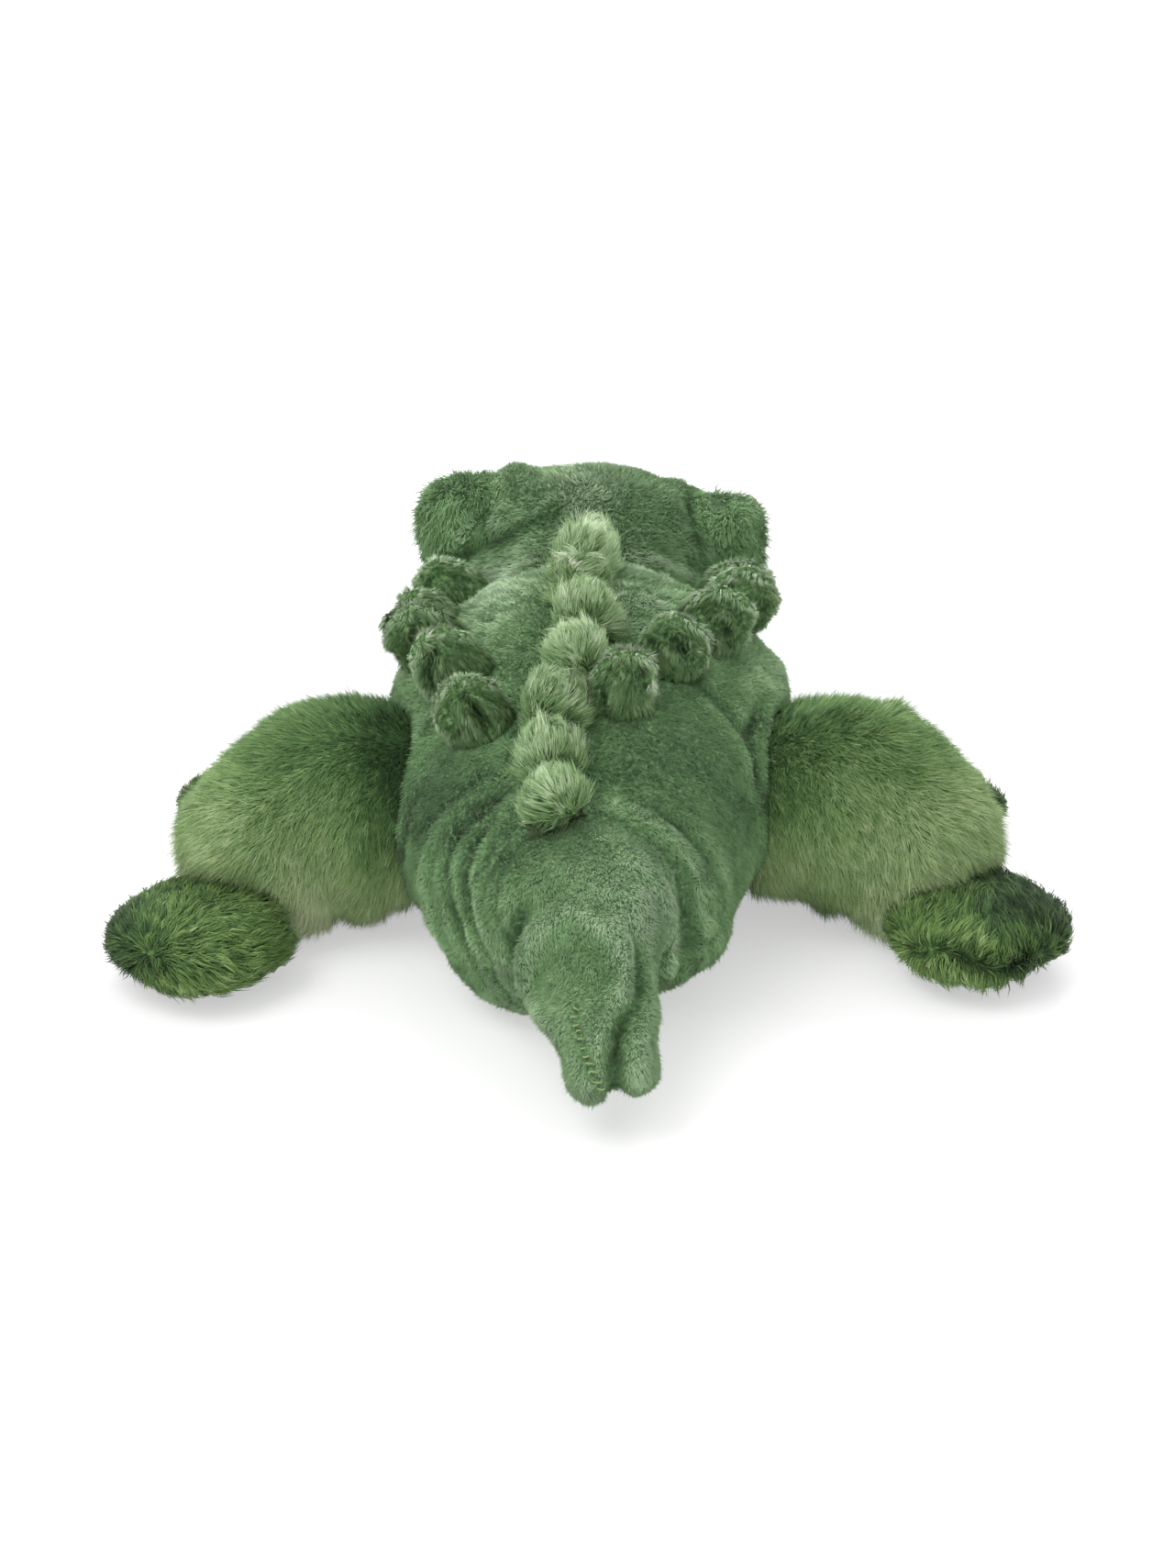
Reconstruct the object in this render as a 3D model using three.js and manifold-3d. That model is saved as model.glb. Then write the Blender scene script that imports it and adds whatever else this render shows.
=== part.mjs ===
// A plush crocodile that lies on its belly, in millimetres, +Z up, its head towards +Y and its tail towards -Y.
// The origin is on the ground, in the middle of the flat patch that the belly rests on.
import * as THREE from 'three';
import { mergeVertices } from 'three/addons/utils/BufferGeometryUtils.js';
import Module from 'manifold-3d';

const wasm = await Module();
wasm.setup();

// Cloth and sewing
const cloth = 2.2; // wall of every cover: the backing cloth and the dense foot of its pile
const seamGap = 0.3; // air between two pieces that lie on each other
const overrun = 6; // how far a cutting shape runs past what it cuts
const restCut = 0.5; // depth of the flat that the weight presses into the under side
const weld = 0.001; // points nearer than this are one point
const seatSteps = 24; // flat faces round the seat of a root ball
const settlingPower = 0.7; // how full the lower half of a settled form is; 1 is an ellipse
const barrelCapPower = 2.4; // how blunt the barrel's round ends are; 2 is an ellipse

// Torso: a barrel that tapers to the hips
const chestWidth = 112;
const chestHeight = 88;
const barrelLength = 112; // between the centres of the barrel's two round ends
const rumpY = -56; // where the barrel ends and the round rump begins
const rumpCap = 31;
const neckCap = 26;
const hipLean = 3.8; // how far the middle of the hips lies to the left
const hipRoll = 11; // degrees that the hips are rolled to the left
const panelHeight = 6.5; // top edge of the belly panel
const torsoWidthShares = [0.75, 0.87, 0.94, 0.98, 1, 0.95, 0.76];
const torsoHeightShares = [0.75, 0.84, 0.91, 0.97, 1, 0.96, 0.8];
const torsoLiftShares = [0.02, 0.005, 0, 0, 0, 0.01, 0.06]; // height of the under side, as shares of the chest
const torsoLeanShares = [1, 1.05, 0.95, 0.5, 0.25, 0.12, 0];

// Head, with its snout
const headRootRadius = 33;
const headRootAhead = 32; // from the barrel's front end to the root ball's centre
const headRootHeight = 47;
const crownWidth = 92;
const crownHeight = 80;
const headRoll = 3.5; // degrees that the head is rolled to the right
const snoutWidth = 56;
const snoutHeight = 34;
const snoutLength = 106; // from the root ball's centre to the centre of the snout's round end
const snoutEndHeight = 32;
const snoutCap = 14;
const crownTaperShare = 0.93;
const cheekWidthShare = 0.476; // of the crown's and the snout's half sizes together
const cheekHeightShare = 0.455;
const snoutWidthShares = [1, 0.98, 0.92];
const snoutHeightShares = [1, 0.95, 0.9];

// Lower jaw
const jawWidth = 53;
const jawHeight = 24;
const jawLength = 62;
const jawSetback = 8; // how far the jaw's end stays behind the snout's
const jawCap = 12;
const jawCentreHeight = 14;
const jawWidthShares = [1, 1, 0.87];
const jawHeightShares = [1, 1, 0.83];

// Brow mounds, eyes and nostrils
const browWidth = 30;
const browLength = 34;
const browHeight = 42; // from the cheek to the top of the brow
const browSpread = 76;
const browForward = 28; // from the root ball's centre
const browCentreHeight = 61;
const eyeRadius = 6;
const eyeRise = 4.6;
const eyeSeatDepth = 0.9;
const stemRadius = 1.8;
const stemLength = 8;
const washerRadius = 5;
const washerThickness = 1.6;
const washerDepth = 4.6; // from the eye's flat back to the washer
const eyeAim = { out: 0.5, forward: 0.82, up: 0.35 };
const nostrilWidth = 8;
const nostrilLength = 7;
const nostrilHeight = 6;
const nostrilSpread = 22;

// Tail
const tailRootRadius = 27;
const tailRootX = -4;
const tailRootBehind = 26; // from the barrel's rump end to the root ball's centre
const tailRootHeight = 37;
const tailLength = 43; // from the root ball's centre to the centre of the round tip
const tailTipX = 3.5;
const tailTipWidth = 26;
const tailTipHeight = 28;
const tailTipCentreHeight = 19;
const tailTipCap = 10;
const tailWidthShares = [1.42, 1.12, 1]; // of the tip's size, from the root to the tip
const tailHeightShares = [1.45, 1.15, 1];

// Hind legs and feet
const hindRootRadius = 26;
const hindRootOut = 2; // from the chest's side to the root ball's centre
const hindRootAhead = 50; // from the barrel's rump end
const hindRootHeight = 33;
const hindReach = 33; // sideways, from the root ball's centre to the knee's
const hindKneeBack = 13.5;
const hindKneeHeight = 25;
const thighRadius = 27.8; // seen from above
const thighHeight = 63;
const kneeRadius = 25;
const kneeCap = 20;
const hindFootWidth = 51;
const hindFootLength = 52;
const hindFootHeight = 24;
const hindFootOut = 14.5; // from the knee's centre to the foot's
const hindFootBack = 38.5; // from the root ball's centre
const hindFootSkew = 2.5; // how much further back the left foot lies, and how much further ahead the right one
const hindFootShift = 1.2; // how far both feet lie to the left

// Front legs and feet
const frontRootRadius = 17;
const frontRootOut = 4;
const frontRootBehind = 14; // from the barrel's front end
const frontRootHeight = 20;
const frontReach = 32;
const frontElbowHeight = 15;
const foreArmRadius = 16;
const elbowRadius = 13.5;
const elbowCap = 12;
const frontFootWidth = 38;
const frontFootLength = 34;
const frontFootHeight = 19;
const frontFootOut = 10; // from the elbow's centre to the foot's
const frontFootBack = 2;

// Ridge tufts, from the neck back to the tail
const tuftWidth = 18;
const tuftHeight = 24; // half of it stands above the back
const tuftGap = 1.8;
const tuftEndShares = [0.985, 0.84, 0.69, 0.575, 0.45, 0.29, 0.125, -0.04, -0.215]; // of the barrel, from its rump end
const tuftWidthShares = [0.95, 1, 1, 1.05, 0.95, 1, 1, 1.12];
const tuftAngles = [90, 90, 90, 94, 96.5, 92.5, 90, 90]; // round the back, from its left side

// Side spikes, from the shoulder back to the hip
const spikeLength = 14.5; // how far a spike stands off the back
const spikeWidth = 19;
const spikeThickness = 13.5;
const spikeRoot = 4; // how deep a spike's centre line starts under the back
const spikeWidthShares = [0.9, 1, 0.98, 0.86];
const spikeThicknessShares = [1, 1, 0.95, 0.85];
const leftSpikes = {
  alongShares: [0.88, 0.755, 0.61, 0.435, 0.245],
  angles: [45, 38.5, 45, 58, 68.5], // degrees up from the flank, seen along the barrel
};
const rightSpikes = {
  alongShares: [0.87, 0.735, 0.58, 0.425, 0.25],
  angles: [43, 45, 52, 59.5, 68.5],
};

// Places that follow from the sizes above
const barrelFront = rumpY + barrelLength;
const headRootY = barrelFront + headRootAhead;
const tailRootY = rumpY - tailRootBehind;
const hindRootX = chestWidth / 2 + hindRootOut;
const hindRootY = rumpY + hindRootAhead;
const hindFootX = hindRootX + hindReach + hindFootOut;
const hindFootY = hindRootY - hindFootBack;
const frontRootX = chestWidth / 2 + frontRootOut;
const frontRootY = barrelFront - frontRootBehind;
const frontFootX = frontRootX + frontReach + frontFootOut;
const frontFootY = frontRootY - frontFootBack;

// Materials
const looks = {
  body: new THREE.MeshStandardMaterial({ color: 0x5d8a5a, roughness: 0.95, metalness: 0 }),
  limb: new THREE.MeshStandardMaterial({ color: 0x8aa86a, roughness: 0.95, metalness: 0 }),
  foot: new THREE.MeshStandardMaterial({ color: 0x4f7a48, roughness: 0.95, metalness: 0 }),
  tuft: new THREE.MeshStandardMaterial({ color: 0x8fb07a, roughness: 0.95, metalness: 0 }),
  spike: new THREE.MeshStandardMaterial({ color: 0x4f7a52, roughness: 0.95, metalness: 0 }),
  belly: new THREE.MeshStandardMaterial({ color: 0xb9c48a, roughness: 0.95, metalness: 0 }),
  filling: new THREE.MeshStandardMaterial({ color: 0xf2f0ea, roughness: 1, metalness: 0 }),
  eye: new THREE.MeshStandardMaterial({ color: 0x1a1208, roughness: 0.12, metalness: 0 }),
  washer: new THREE.MeshStandardMaterial({ color: 0xe6e6e2, roughness: 0.5, metalness: 0 }),
  nose: new THREE.MeshStandardMaterial({ color: 0x24382a, roughness: 0.9, metalness: 0 }),
};

const crocodile = new THREE.Group();

function place(x, y, z) {
  return new THREE.Vector3(x, y, z);
}

// Turns a three.js geometry into a solid that can be joined and cut.
function solid(geometry) {
  const bare = geometry.clone();
  bare.deleteAttribute('normal');
  bare.deleteAttribute('uv');
  const merged = mergeVertices(bare, weld);
  const mesh = new wasm.Mesh({
    numProp: 3,
    vertProperties: merged.attributes.position.array,
    triVerts: Uint32Array.from(merged.index.array),
  });
  return new wasm.Manifold(mesh);
}

// Adds a solid to the crocodile as a named mesh.
function add(name, form, material) {
  const { vertProperties, triVerts } = form.getMesh();
  const geometry = new THREE.BufferGeometry();
  geometry.setAttribute('position', new THREE.BufferAttribute(new Float32Array(vertProperties), 3));
  geometry.setIndex(new THREE.BufferAttribute(new Uint32Array(triVerts), 1));
  geometry.computeVertexNormals();
  const mesh = new THREE.Mesh(geometry, material);
  mesh.name = name;
  crocodile.add(mesh);
}

// A value read from a table whose entries are evenly spaced.
function read(table, share) {
  const points = table.map((value, index) => new THREE.Vector2(index, value));
  return new THREE.SplineCurve(points).getPoint(share).y;
}

function scaled(shares, size) {
  return shares.map((share) => share * size);
}

// The cross-section of a soft form at a distance along its path; past either end it shrinks as the round cap does.
function sectionAt(form, distance) {
  const length = form.path.getLength();
  const share = THREE.MathUtils.clamp(distance / length, 0, 1);
  const past = distance - share * length;
  const cap = past < 0 ? form.startCap : form.endCap;
  const power = form.capPower ?? 2;
  const swell = Math.max(0, 1 - Math.abs(past / cap) ** power) ** (1 / power);
  const tangent = form.path.getTangent(share);
  const across = form.across.clone().projectOnPlane(tangent).normalize();
  across.applyAxisAngle(tangent, THREE.MathUtils.degToRad(form.rolls ? read(form.rolls, share) : 0));
  return {
    centre: form.path.getPoint(share).addScaledVector(tangent, past),
    across,
    top: tangent.clone().cross(across),
    halfWidth: read(form.halfWidths, share) * swell,
    halfHeight: read(form.halfHeights, share) * swell,
  };
}

// A point of a section's outline, at an angle from its across direction towards its top. The lower half of a form
// that has settled on the ground is fuller than an ellipse.
function outlinePoint(section, angle, settling = 1) {
  const power = Math.sin(angle) < 0 ? settling : 1;
  const out = Math.sign(Math.cos(angle)) * Math.abs(Math.cos(angle)) ** power;
  const rise = Math.sign(Math.sin(angle)) * Math.abs(Math.sin(angle)) ** power;
  return section.centre.clone()
    .addScaledVector(section.across, section.halfWidth * out)
    .addScaledVector(section.top, section.halfHeight * rise);
}

// The same form with its surface moved in, or out where the distance is negative.
function inset(form, distance) {
  return {
    ...form,
    halfWidths: form.halfWidths.map((value) => value - distance),
    halfHeights: form.halfHeights.map((value) => value - distance),
    startCap: form.startCap - distance,
    endCap: form.endCap - distance,
  };
}

// The inside of a form, which nobody sees, has half as many points round it.
function inside(form, distance) {
  return { ...inset(form, distance), steps: form.steps / 2, rings: Math.ceil(form.rings / 2), capRings: 3 };
}

// The closed surface of a soft form: rings of points from its start point to its end point.
function softSolid(form) {
  const length = form.path.getLength();
  const distances = [];
  for (let ring = 1; ring <= form.capRings; ring += 1) {
    distances.push(-form.startCap * Math.cos((ring / form.capRings) * Math.PI / 2));
  }
  for (let ring = 1; ring < form.rings; ring += 1) {
    distances.push((ring / form.rings) * length);
  }
  for (let ring = form.capRings; ring >= 1; ring -= 1) {
    distances.push(length + form.endCap * Math.cos((ring / form.capRings) * Math.PI / 2));
  }
  const points = [sectionAt(form, -form.startCap).centre];
  for (const distance of distances) {
    const section = sectionAt(form, distance);
    for (let step = 0; step < form.steps; step += 1) {
      points.push(outlinePoint(section, (step / form.steps) * Math.PI * 2, form.settling));
    }
  }
  points.push(sectionAt(form, length + form.endCap).centre);
  const geometry = new THREE.BufferGeometry().setFromPoints(points);
  geometry.setIndex(ringFaces(distances.length, form.steps));
  return solid(geometry);
}

// Triangles that join rings of points to each other and to the single points at both ends.
function ringFaces(ringCount, steps) {
  const faces = [];
  const lastPoint = ringCount * steps + 1;
  const index = (ring, step) => 1 + ring * steps + (step % steps);
  for (let step = 0; step < steps; step += 1) {
    faces.push(0, index(0, step + 1), index(0, step));
    for (let ring = 0; ring + 1 < ringCount; ring += 1) {
      faces.push(index(ring, step), index(ring, step + 1), index(ring + 1, step + 1));
      faces.push(index(ring, step), index(ring + 1, step + 1), index(ring + 1, step));
    }
    faces.push(lastPoint, index(ringCount - 1, step), index(ringCount - 1, step + 1));
  }
  return faces;
}

// A closed ball whose flat faces all lie outside the radius given, to cut a seat for a root ball.
function ballSeat(centre, radius, steps) {
  const rings = steps / 2;
  const faceShare = Math.cos(Math.PI / steps) * Math.cos(Math.PI / (2 * rings));
  const geometry = new THREE.SphereGeometry(radius / faceShare, steps, rings);
  return solid(geometry.translate(centre.x, centre.y, centre.z));
}

// An egg-like solid with three widths of its own, turned as the section it sits on where one is given.
function egg(centre, width, length, height, steps = 12, rings = 8, section = null) {
  const geometry = new THREE.SphereGeometry(1, steps, rings);
  geometry.rotateX(Math.PI / 2);
  geometry.scale(width / 2, length / 2, height / 2);
  if (section) {
    const sideways = section.across.clone().negate();
    const forward = section.top.clone().cross(sideways);
    geometry.applyMatrix4(new THREE.Matrix4().makeBasis(sideways, forward, section.top));
  }
  return solid(geometry.translate(centre.x, centre.y, centre.z));
}

// A rod from one point in a direction.
function rod(start, direction, radius, length, steps = 12) {
  const geometry = new THREE.CylinderGeometry(radius, radius, length, steps);
  geometry.translate(0, length / 2, 0);
  const turn = new THREE.Quaternion().setFromUnitVectors(place(0, 1, 0), direction.clone().normalize());
  geometry.applyQuaternion(turn);
  return solid(geometry.translate(start.x, start.y, start.z));
}

// Everything in a band of heights, to keep or cut a slice.
function slab(low, high) {
  const reach = 2 * (barrelLength + chestWidth);
  const geometry = new THREE.BoxGeometry(reach, reach, high - low);
  return solid(geometry.translate(0, 0, (low + high) / 2));
}

const underGround = slab(-chestHeight, 0);

// The cover of a limb is open where its root ball faces the torso, and its stuffing fills it.
function addLimb(name, form, material) {
  const root = form.path.getPoint(0);
  const inward = form.path.getTangent(0).negate();
  const opening = rod(root, inward, form.startCap / 2, form.startCap + overrun);
  const hollow = softSolid(inside(form, cloth)).add(opening);
  add(`${name}_cover`, softSolid(form).subtract(underGround).subtract(hollow), material);
  add(`${name}_filling`, softSolid(inside(form, cloth + seamGap)), looks.filling);
}

// A limb's path runs from the centre of its root ball to the centre of its round end.
function bentPath(start, middle, end) {
  return new THREE.QuadraticBezierCurve3(start, middle, end);
}

function torsoForm() {
  const halfHeights = scaled(torsoHeightShares, chestHeight / 2);
  const last = torsoHeightShares.length - 1;
  const spine = torsoHeightShares.map((share, index) => place(
    -hipLean * torsoLeanShares[index],
    rumpY + barrelLength * (index / last),
    halfHeights[index] + chestHeight * torsoLiftShares[index] - restCut,
  ));
  return {
    path: new THREE.CatmullRomCurve3(spine),
    across: place(-1, 0, 0),
    halfWidths: scaled(torsoWidthShares, chestWidth / 2),
    halfHeights,
    rolls: scaled(torsoLeanShares, -hipRoll),
    settling: settlingPower,
    capPower: barrelCapPower,
    startCap: rumpCap,
    endCap: neckCap,
    rings: 9,
    capRings: 3,
    steps: 24,
  };
}

function headForm() {
  const start = place(0, headRootY, headRootHeight);
  const end = place(0, headRootY + snoutLength, snoutEndHeight);
  const crownPoint = place(0, headRootY + snoutLength / 2, headRootHeight);
  const crown = crownWidth / 2;
  const snout = snoutWidth / 2;
  const crownUp = crownHeight / 2;
  const snoutUp = snoutHeight / 2;
  return {
    path: bentPath(start, crownPoint, end),
    across: place(-1, 0, 0),
    rolls: [0, headRoll, headRoll, 0, 0],
    halfWidths: [
      headRootRadius, crown, crownTaperShare * crown, cheekWidthShare * (crown + snout), ...scaled(snoutWidthShares, snout),
    ],
    halfHeights: [
      headRootRadius, crownUp, crownTaperShare * crownUp, cheekHeightShare * (crownUp + snoutUp),
      ...scaled(snoutHeightShares, snoutUp),
    ],
    startCap: headRootRadius,
    endCap: snoutCap,
    rings: 8,
    capRings: 3,
    steps: 20,
  };
}

function tailForm() {
  const start = place(tailRootX, tailRootY, tailRootHeight);
  const end = place(tailTipX, tailRootY - tailLength, tailTipCentreHeight);
  const middle = place(tailTipX, (start.y + end.y) / 2, (tailRootHeight + tailTipCentreHeight) / 2);
  return {
    path: bentPath(start, middle, end),
    across: place(1, 0, 0),
    halfWidths: [tailRootRadius, ...scaled(tailWidthShares, tailTipWidth / 2)],
    halfHeights: [tailRootRadius, ...scaled(tailHeightShares, tailTipHeight / 2)],
    startCap: tailRootRadius,
    endCap: tailTipCap,
    rings: 5,
    capRings: 3,
    steps: 16,
  };
}

function hindLegForm(side) {
  const start = place(side * hindRootX, hindRootY, hindRootHeight);
  const end = place(side * (hindRootX + hindReach), hindRootY - hindKneeBack, hindKneeHeight);
  const middle = place(side * (hindRootX + hindReach / 2), hindRootY, hindRootHeight);
  return {
    path: bentPath(start, middle, end),
    across: place(0, -side, 0),
    halfWidths: [hindRootRadius, thighRadius, kneeRadius],
    halfHeights: [hindRootRadius, thighHeight / 2, kneeRadius],
    startCap: hindRootRadius,
    endCap: kneeCap,
    rings: 4,
    capRings: 3,
    steps: 16,
  };
}

function frontLegForm(side) {
  const start = place(side * frontRootX, frontRootY, frontRootHeight);
  const end = place(side * (frontRootX + frontReach), frontRootY, frontElbowHeight);
  const middle = place(side * (frontRootX + frontReach / 2), frontRootY, frontRootHeight);
  return {
    path: bentPath(start, middle, end),
    across: place(0, -side, 0),
    halfWidths: [frontRootRadius, foreArmRadius, elbowRadius],
    halfHeights: [frontRootRadius, foreArmRadius, elbowRadius],
    startCap: frontRootRadius,
    endCap: elbowCap,
    rings: 3,
    capRings: 3,
    steps: 14,
  };
}

const sides = [['left', -1], ['right', 1]];
const torso = torsoForm();
const head = headForm();
const tail = tailForm();

// A solid with a hollow in it for each root ball; the margin is what stays between the ball and the hollow's face.
function cutSeats(form, margin, steps) {
  let rest = form;
  const limbs = [head, tail, ...sides.flatMap(([, side]) => [hindLegForm(side), frontLegForm(side)])];
  for (const limb of limbs) {
    rest = rest.subtract(ballSeat(limb.path.getPoint(0), limb.startCap + margin, steps));
  }
  return rest;
}

function addTorso() {
  const outside = cutSeats(softSolid(torso), seamGap, seatSteps).subtract(underGround);
  const room = softSolid(inside(torso, cloth)).subtract(slab(-chestHeight, cloth));
  const hollow = cutSeats(room, seamGap + cloth, seatSteps / 2);
  const shell = outside.subtract(hollow);
  add('torso_cover', shell.intersect(slab(panelHeight + seamGap, 2 * chestHeight)), looks.body);
  add('belly_panel', shell.intersect(slab(-overrun, panelHeight)), looks.belly);
  const stuffing = cutSeats(softSolid(inside(torso, cloth + seamGap)), 2 * seamGap + cloth, seatSteps / 2);
  add('torso_filling', stuffing.subtract(slab(-chestHeight, cloth + seamGap)), looks.filling);
}

// The outside of the torso with the seam gap around it, which every piece sewn on the back is cut by.
const torsoRoom = softSolid(inset(torso, -seamGap));
const tailRoom = ballSeat(tail.path.getPoint(0), tailRootRadius + seamGap, seatSteps);
const headRoom = softSolid(inset(head, -seamGap));

function addTufts() {
  tuftWidthShares.forEach((widthShare, tuft) => {
    const front = barrelLength * tuftEndShares[tuft];
    const back = barrelLength * tuftEndShares[tuft + 1];
    const section = sectionAt(torso, (front + back) / 2);
    const centre = outlinePoint(section, THREE.MathUtils.degToRad(tuftAngles[tuft]));
    const form = egg(centre, tuftWidth * widthShare, front - back - tuftGap, tuftHeight, 10, 6, section);
    add(`ridge_tuft_${tuft + 1}`, form.subtract(torsoRoom).subtract(tailRoom), looks.tuft);
  });
}

function spikeForm(side, distance, angle) {
  const section = sectionAt(torso, distance);
  const turn = THREE.MathUtils.degToRad(angle);
  const base = outlinePoint(section, side < 0 ? turn : Math.PI - turn);
  const outward = base.clone().sub(section.centre).normalize();
  const tip = spikeThickness / 2;
  return {
    path: new THREE.LineCurve3(
      base.clone().addScaledVector(outward, -spikeRoot),
      base.clone().addScaledVector(outward, spikeLength - tip),
    ),
    across: place(side, 0, 0),
    halfWidths: scaled(spikeWidthShares, spikeWidth / 2),
    halfHeights: scaled(spikeThicknessShares, spikeThickness / 2),
    startCap: spikeRoot,
    endCap: tip,
    rings: 3,
    capRings: 2,
    steps: 10,
  };
}

function addSpikes() {
  for (const [name, side, row] of [['left', -1, leftSpikes], ['right', 1, rightSpikes]]) {
    row.alongShares.forEach((share, index) => {
      const form = softSolid(spikeForm(side, barrelLength * share, row.angles[index]));
      add(`${name}_spike_${index + 1}`, form.subtract(torsoRoom), looks.spike);
    });
  }
}

function addHead() {
  addLimb('head', head, looks.body);
  const snoutEndY = headRootY + snoutLength + snoutCap;
  const jawEnd = place(0, snoutEndY - jawSetback - jawCap, jawCentreHeight);
  const jaw = {
    path: new THREE.LineCurve3(jawEnd.clone().sub(place(0, jawLength, 0)), jawEnd),
    across: place(-1, 0, 0),
    halfWidths: scaled(jawWidthShares, jawWidth / 2),
    halfHeights: scaled(jawHeightShares, jawHeight / 2),
    startCap: jawCap,
    endCap: jawCap,
    rings: 5,
    capRings: 3,
    steps: 20,
  };
  add('lower_jaw', softSolid(jaw).subtract(headRoom).subtract(underGround), looks.belly);
  for (const [name, side] of sides) {
    const centre = place(side * nostrilSpread / 2, snoutEndY - nostrilLength, snoutEndHeight + snoutHeight / 3);
    const form = egg(centre, nostrilWidth, nostrilLength, nostrilHeight, 10, 6);
    add(`${name}_nostril`, form.subtract(headRoom), looks.nose);
  }
}

// A brow mound is a small hollow cover on the head; the eye's stem passes its wall and a washer locks it inside.
function addBrow(name, side) {
  const tilt = side * Math.sin(THREE.MathUtils.degToRad(headRoll)) * browSpread / 2;
  const centre = place(side * browSpread / 2, headRootY + browForward, browCentreHeight - tilt);
  const aim = place(side * eyeAim.out, eyeAim.forward, eyeAim.up).normalize();
  const reach = 1 / (2 * Math.hypot(aim.x / browWidth, aim.y / browLength, aim.z / browHeight));
  const seat = centre.clone().addScaledVector(aim, reach - eyeSeatDepth);
  const wall = 2 * cloth;
  const hollow = egg(centre, browWidth - wall, browLength - wall, browHeight - wall);
  const cover = egg(centre, browWidth, browLength, browHeight)
    .subtract(hollow)
    .subtract(headRoom)
    .subtract(rod(seat, aim, eyeRadius + seamGap, overrun, 14))
    .subtract(rod(seat.clone().addScaledVector(aim, -overrun), aim, stemRadius + seamGap, 2 * overrun));
  add(`${name}_brow`, cover, looks.body);
  addEye(name, seat.clone().addScaledVector(aim, seamGap), aim);
}

// The eye's outline is turned about its stem: a flat back, a stem behind it and a low dome in front.
function addEye(name, back, aim) {
  const outline = [new THREE.Vector2(0, -stemLength), new THREE.Vector2(stemRadius, -stemLength)];
  outline.push(new THREE.Vector2(stemRadius, 0));
  const domeSteps = 4;
  for (let step = 0; step < domeSteps; step += 1) {
    const angle = (step / domeSteps) * Math.PI / 2;
    outline.push(new THREE.Vector2(eyeRadius * Math.cos(angle), eyeRise * Math.sin(angle)));
  }
  outline.push(new THREE.Vector2(0, eyeRise));
  const turn = new THREE.Quaternion().setFromUnitVectors(place(0, 1, 0), aim);
  const eye = new THREE.LatheGeometry(outline, 14).applyQuaternion(turn).translate(back.x, back.y, back.z);
  add(`${name}_eye`, solid(eye), looks.eye);
  const start = back.clone().addScaledVector(aim, -washerDepth - washerThickness);
  const disc = rod(start, aim, washerRadius, washerThickness);
  const bore = rod(start.clone().addScaledVector(aim, -overrun), aim, stemRadius + seamGap, 3 * overrun);
  add(`${name}_eye_washer`, disc.subtract(bore), looks.washer);
}

function addHindLeg(name, side) {
  const leg = hindLegForm(side);
  addLimb(`${name}_hind_leg`, leg, looks.limb);
  const centre = place(side * hindFootX - hindFootShift, hindFootY + side * hindFootSkew, hindFootHeight / 2 - restCut);
  const foot = egg(centre, hindFootWidth, hindFootLength, hindFootHeight, 16, 8);
  add(`${name}_hind_foot`, foot.subtract(softSolid(inset(leg, -seamGap))).subtract(underGround), looks.foot);
}

function addFrontLeg(name, side) {
  const leg = frontLegForm(side);
  addLimb(`${name}_front_leg`, leg, looks.limb);
  const centre = place(side * frontFootX, frontFootY, frontFootHeight / 2 - restCut);
  const foot = egg(centre, frontFootWidth, frontFootLength, frontFootHeight, 14, 6);
  add(`${name}_front_foot`, foot.subtract(softSolid(inset(leg, -seamGap))).subtract(underGround), looks.foot);
}

addTorso();
addTufts();
addSpikes();
addHead();
addLimb('tail', tail, looks.body);
for (const [name, side] of sides) {
  addBrow(name, side);
  addHindLeg(name, side);
  addFrontLeg(name, side);
}

export default crocodile;
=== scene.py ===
"""A plush crocodile that lies on its belly: skins of sewn cloth and the pile that stands on them.

Lengths are in millimetres until a mesh is made, when MM turns them into metres.
"""
import math

import bmesh
import bpy
import numpy as np
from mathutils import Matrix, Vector
from mathutils.bvhtree import BVHTree
from mathutils.kdtree import KDTree


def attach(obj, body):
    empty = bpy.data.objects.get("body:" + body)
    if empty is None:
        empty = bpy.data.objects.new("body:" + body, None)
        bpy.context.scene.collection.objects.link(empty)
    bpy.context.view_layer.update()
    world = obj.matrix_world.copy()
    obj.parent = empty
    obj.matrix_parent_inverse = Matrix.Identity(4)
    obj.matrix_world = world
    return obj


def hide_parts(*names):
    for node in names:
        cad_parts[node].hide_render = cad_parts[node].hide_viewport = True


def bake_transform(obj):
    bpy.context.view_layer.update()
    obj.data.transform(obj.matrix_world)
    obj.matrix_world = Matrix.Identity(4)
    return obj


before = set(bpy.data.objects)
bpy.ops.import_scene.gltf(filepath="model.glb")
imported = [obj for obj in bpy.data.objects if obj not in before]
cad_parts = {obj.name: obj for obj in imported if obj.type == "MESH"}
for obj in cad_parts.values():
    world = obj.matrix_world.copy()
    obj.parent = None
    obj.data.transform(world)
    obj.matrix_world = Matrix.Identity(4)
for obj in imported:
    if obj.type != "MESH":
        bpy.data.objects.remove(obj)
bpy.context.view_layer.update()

MM = 0.001
SIDES = (("left", -1.0), ("right", 1.0))

# The photograph's view: its frame in pixels, its focal length in pixels and the camera's place.
FRAME_WIDTH, FRAME_HEIGHT, FOCAL = 1280, 1709, 4400.0
SENSOR = 36.0
VIEW_DOWN = math.radians(26.0)
VIEW_DISTANCE = 1200.0
VIEW_TARGET = np.array([-1.64, 72.0, 0.0])
CLIP_METRES = (0.05, 50.0)

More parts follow.
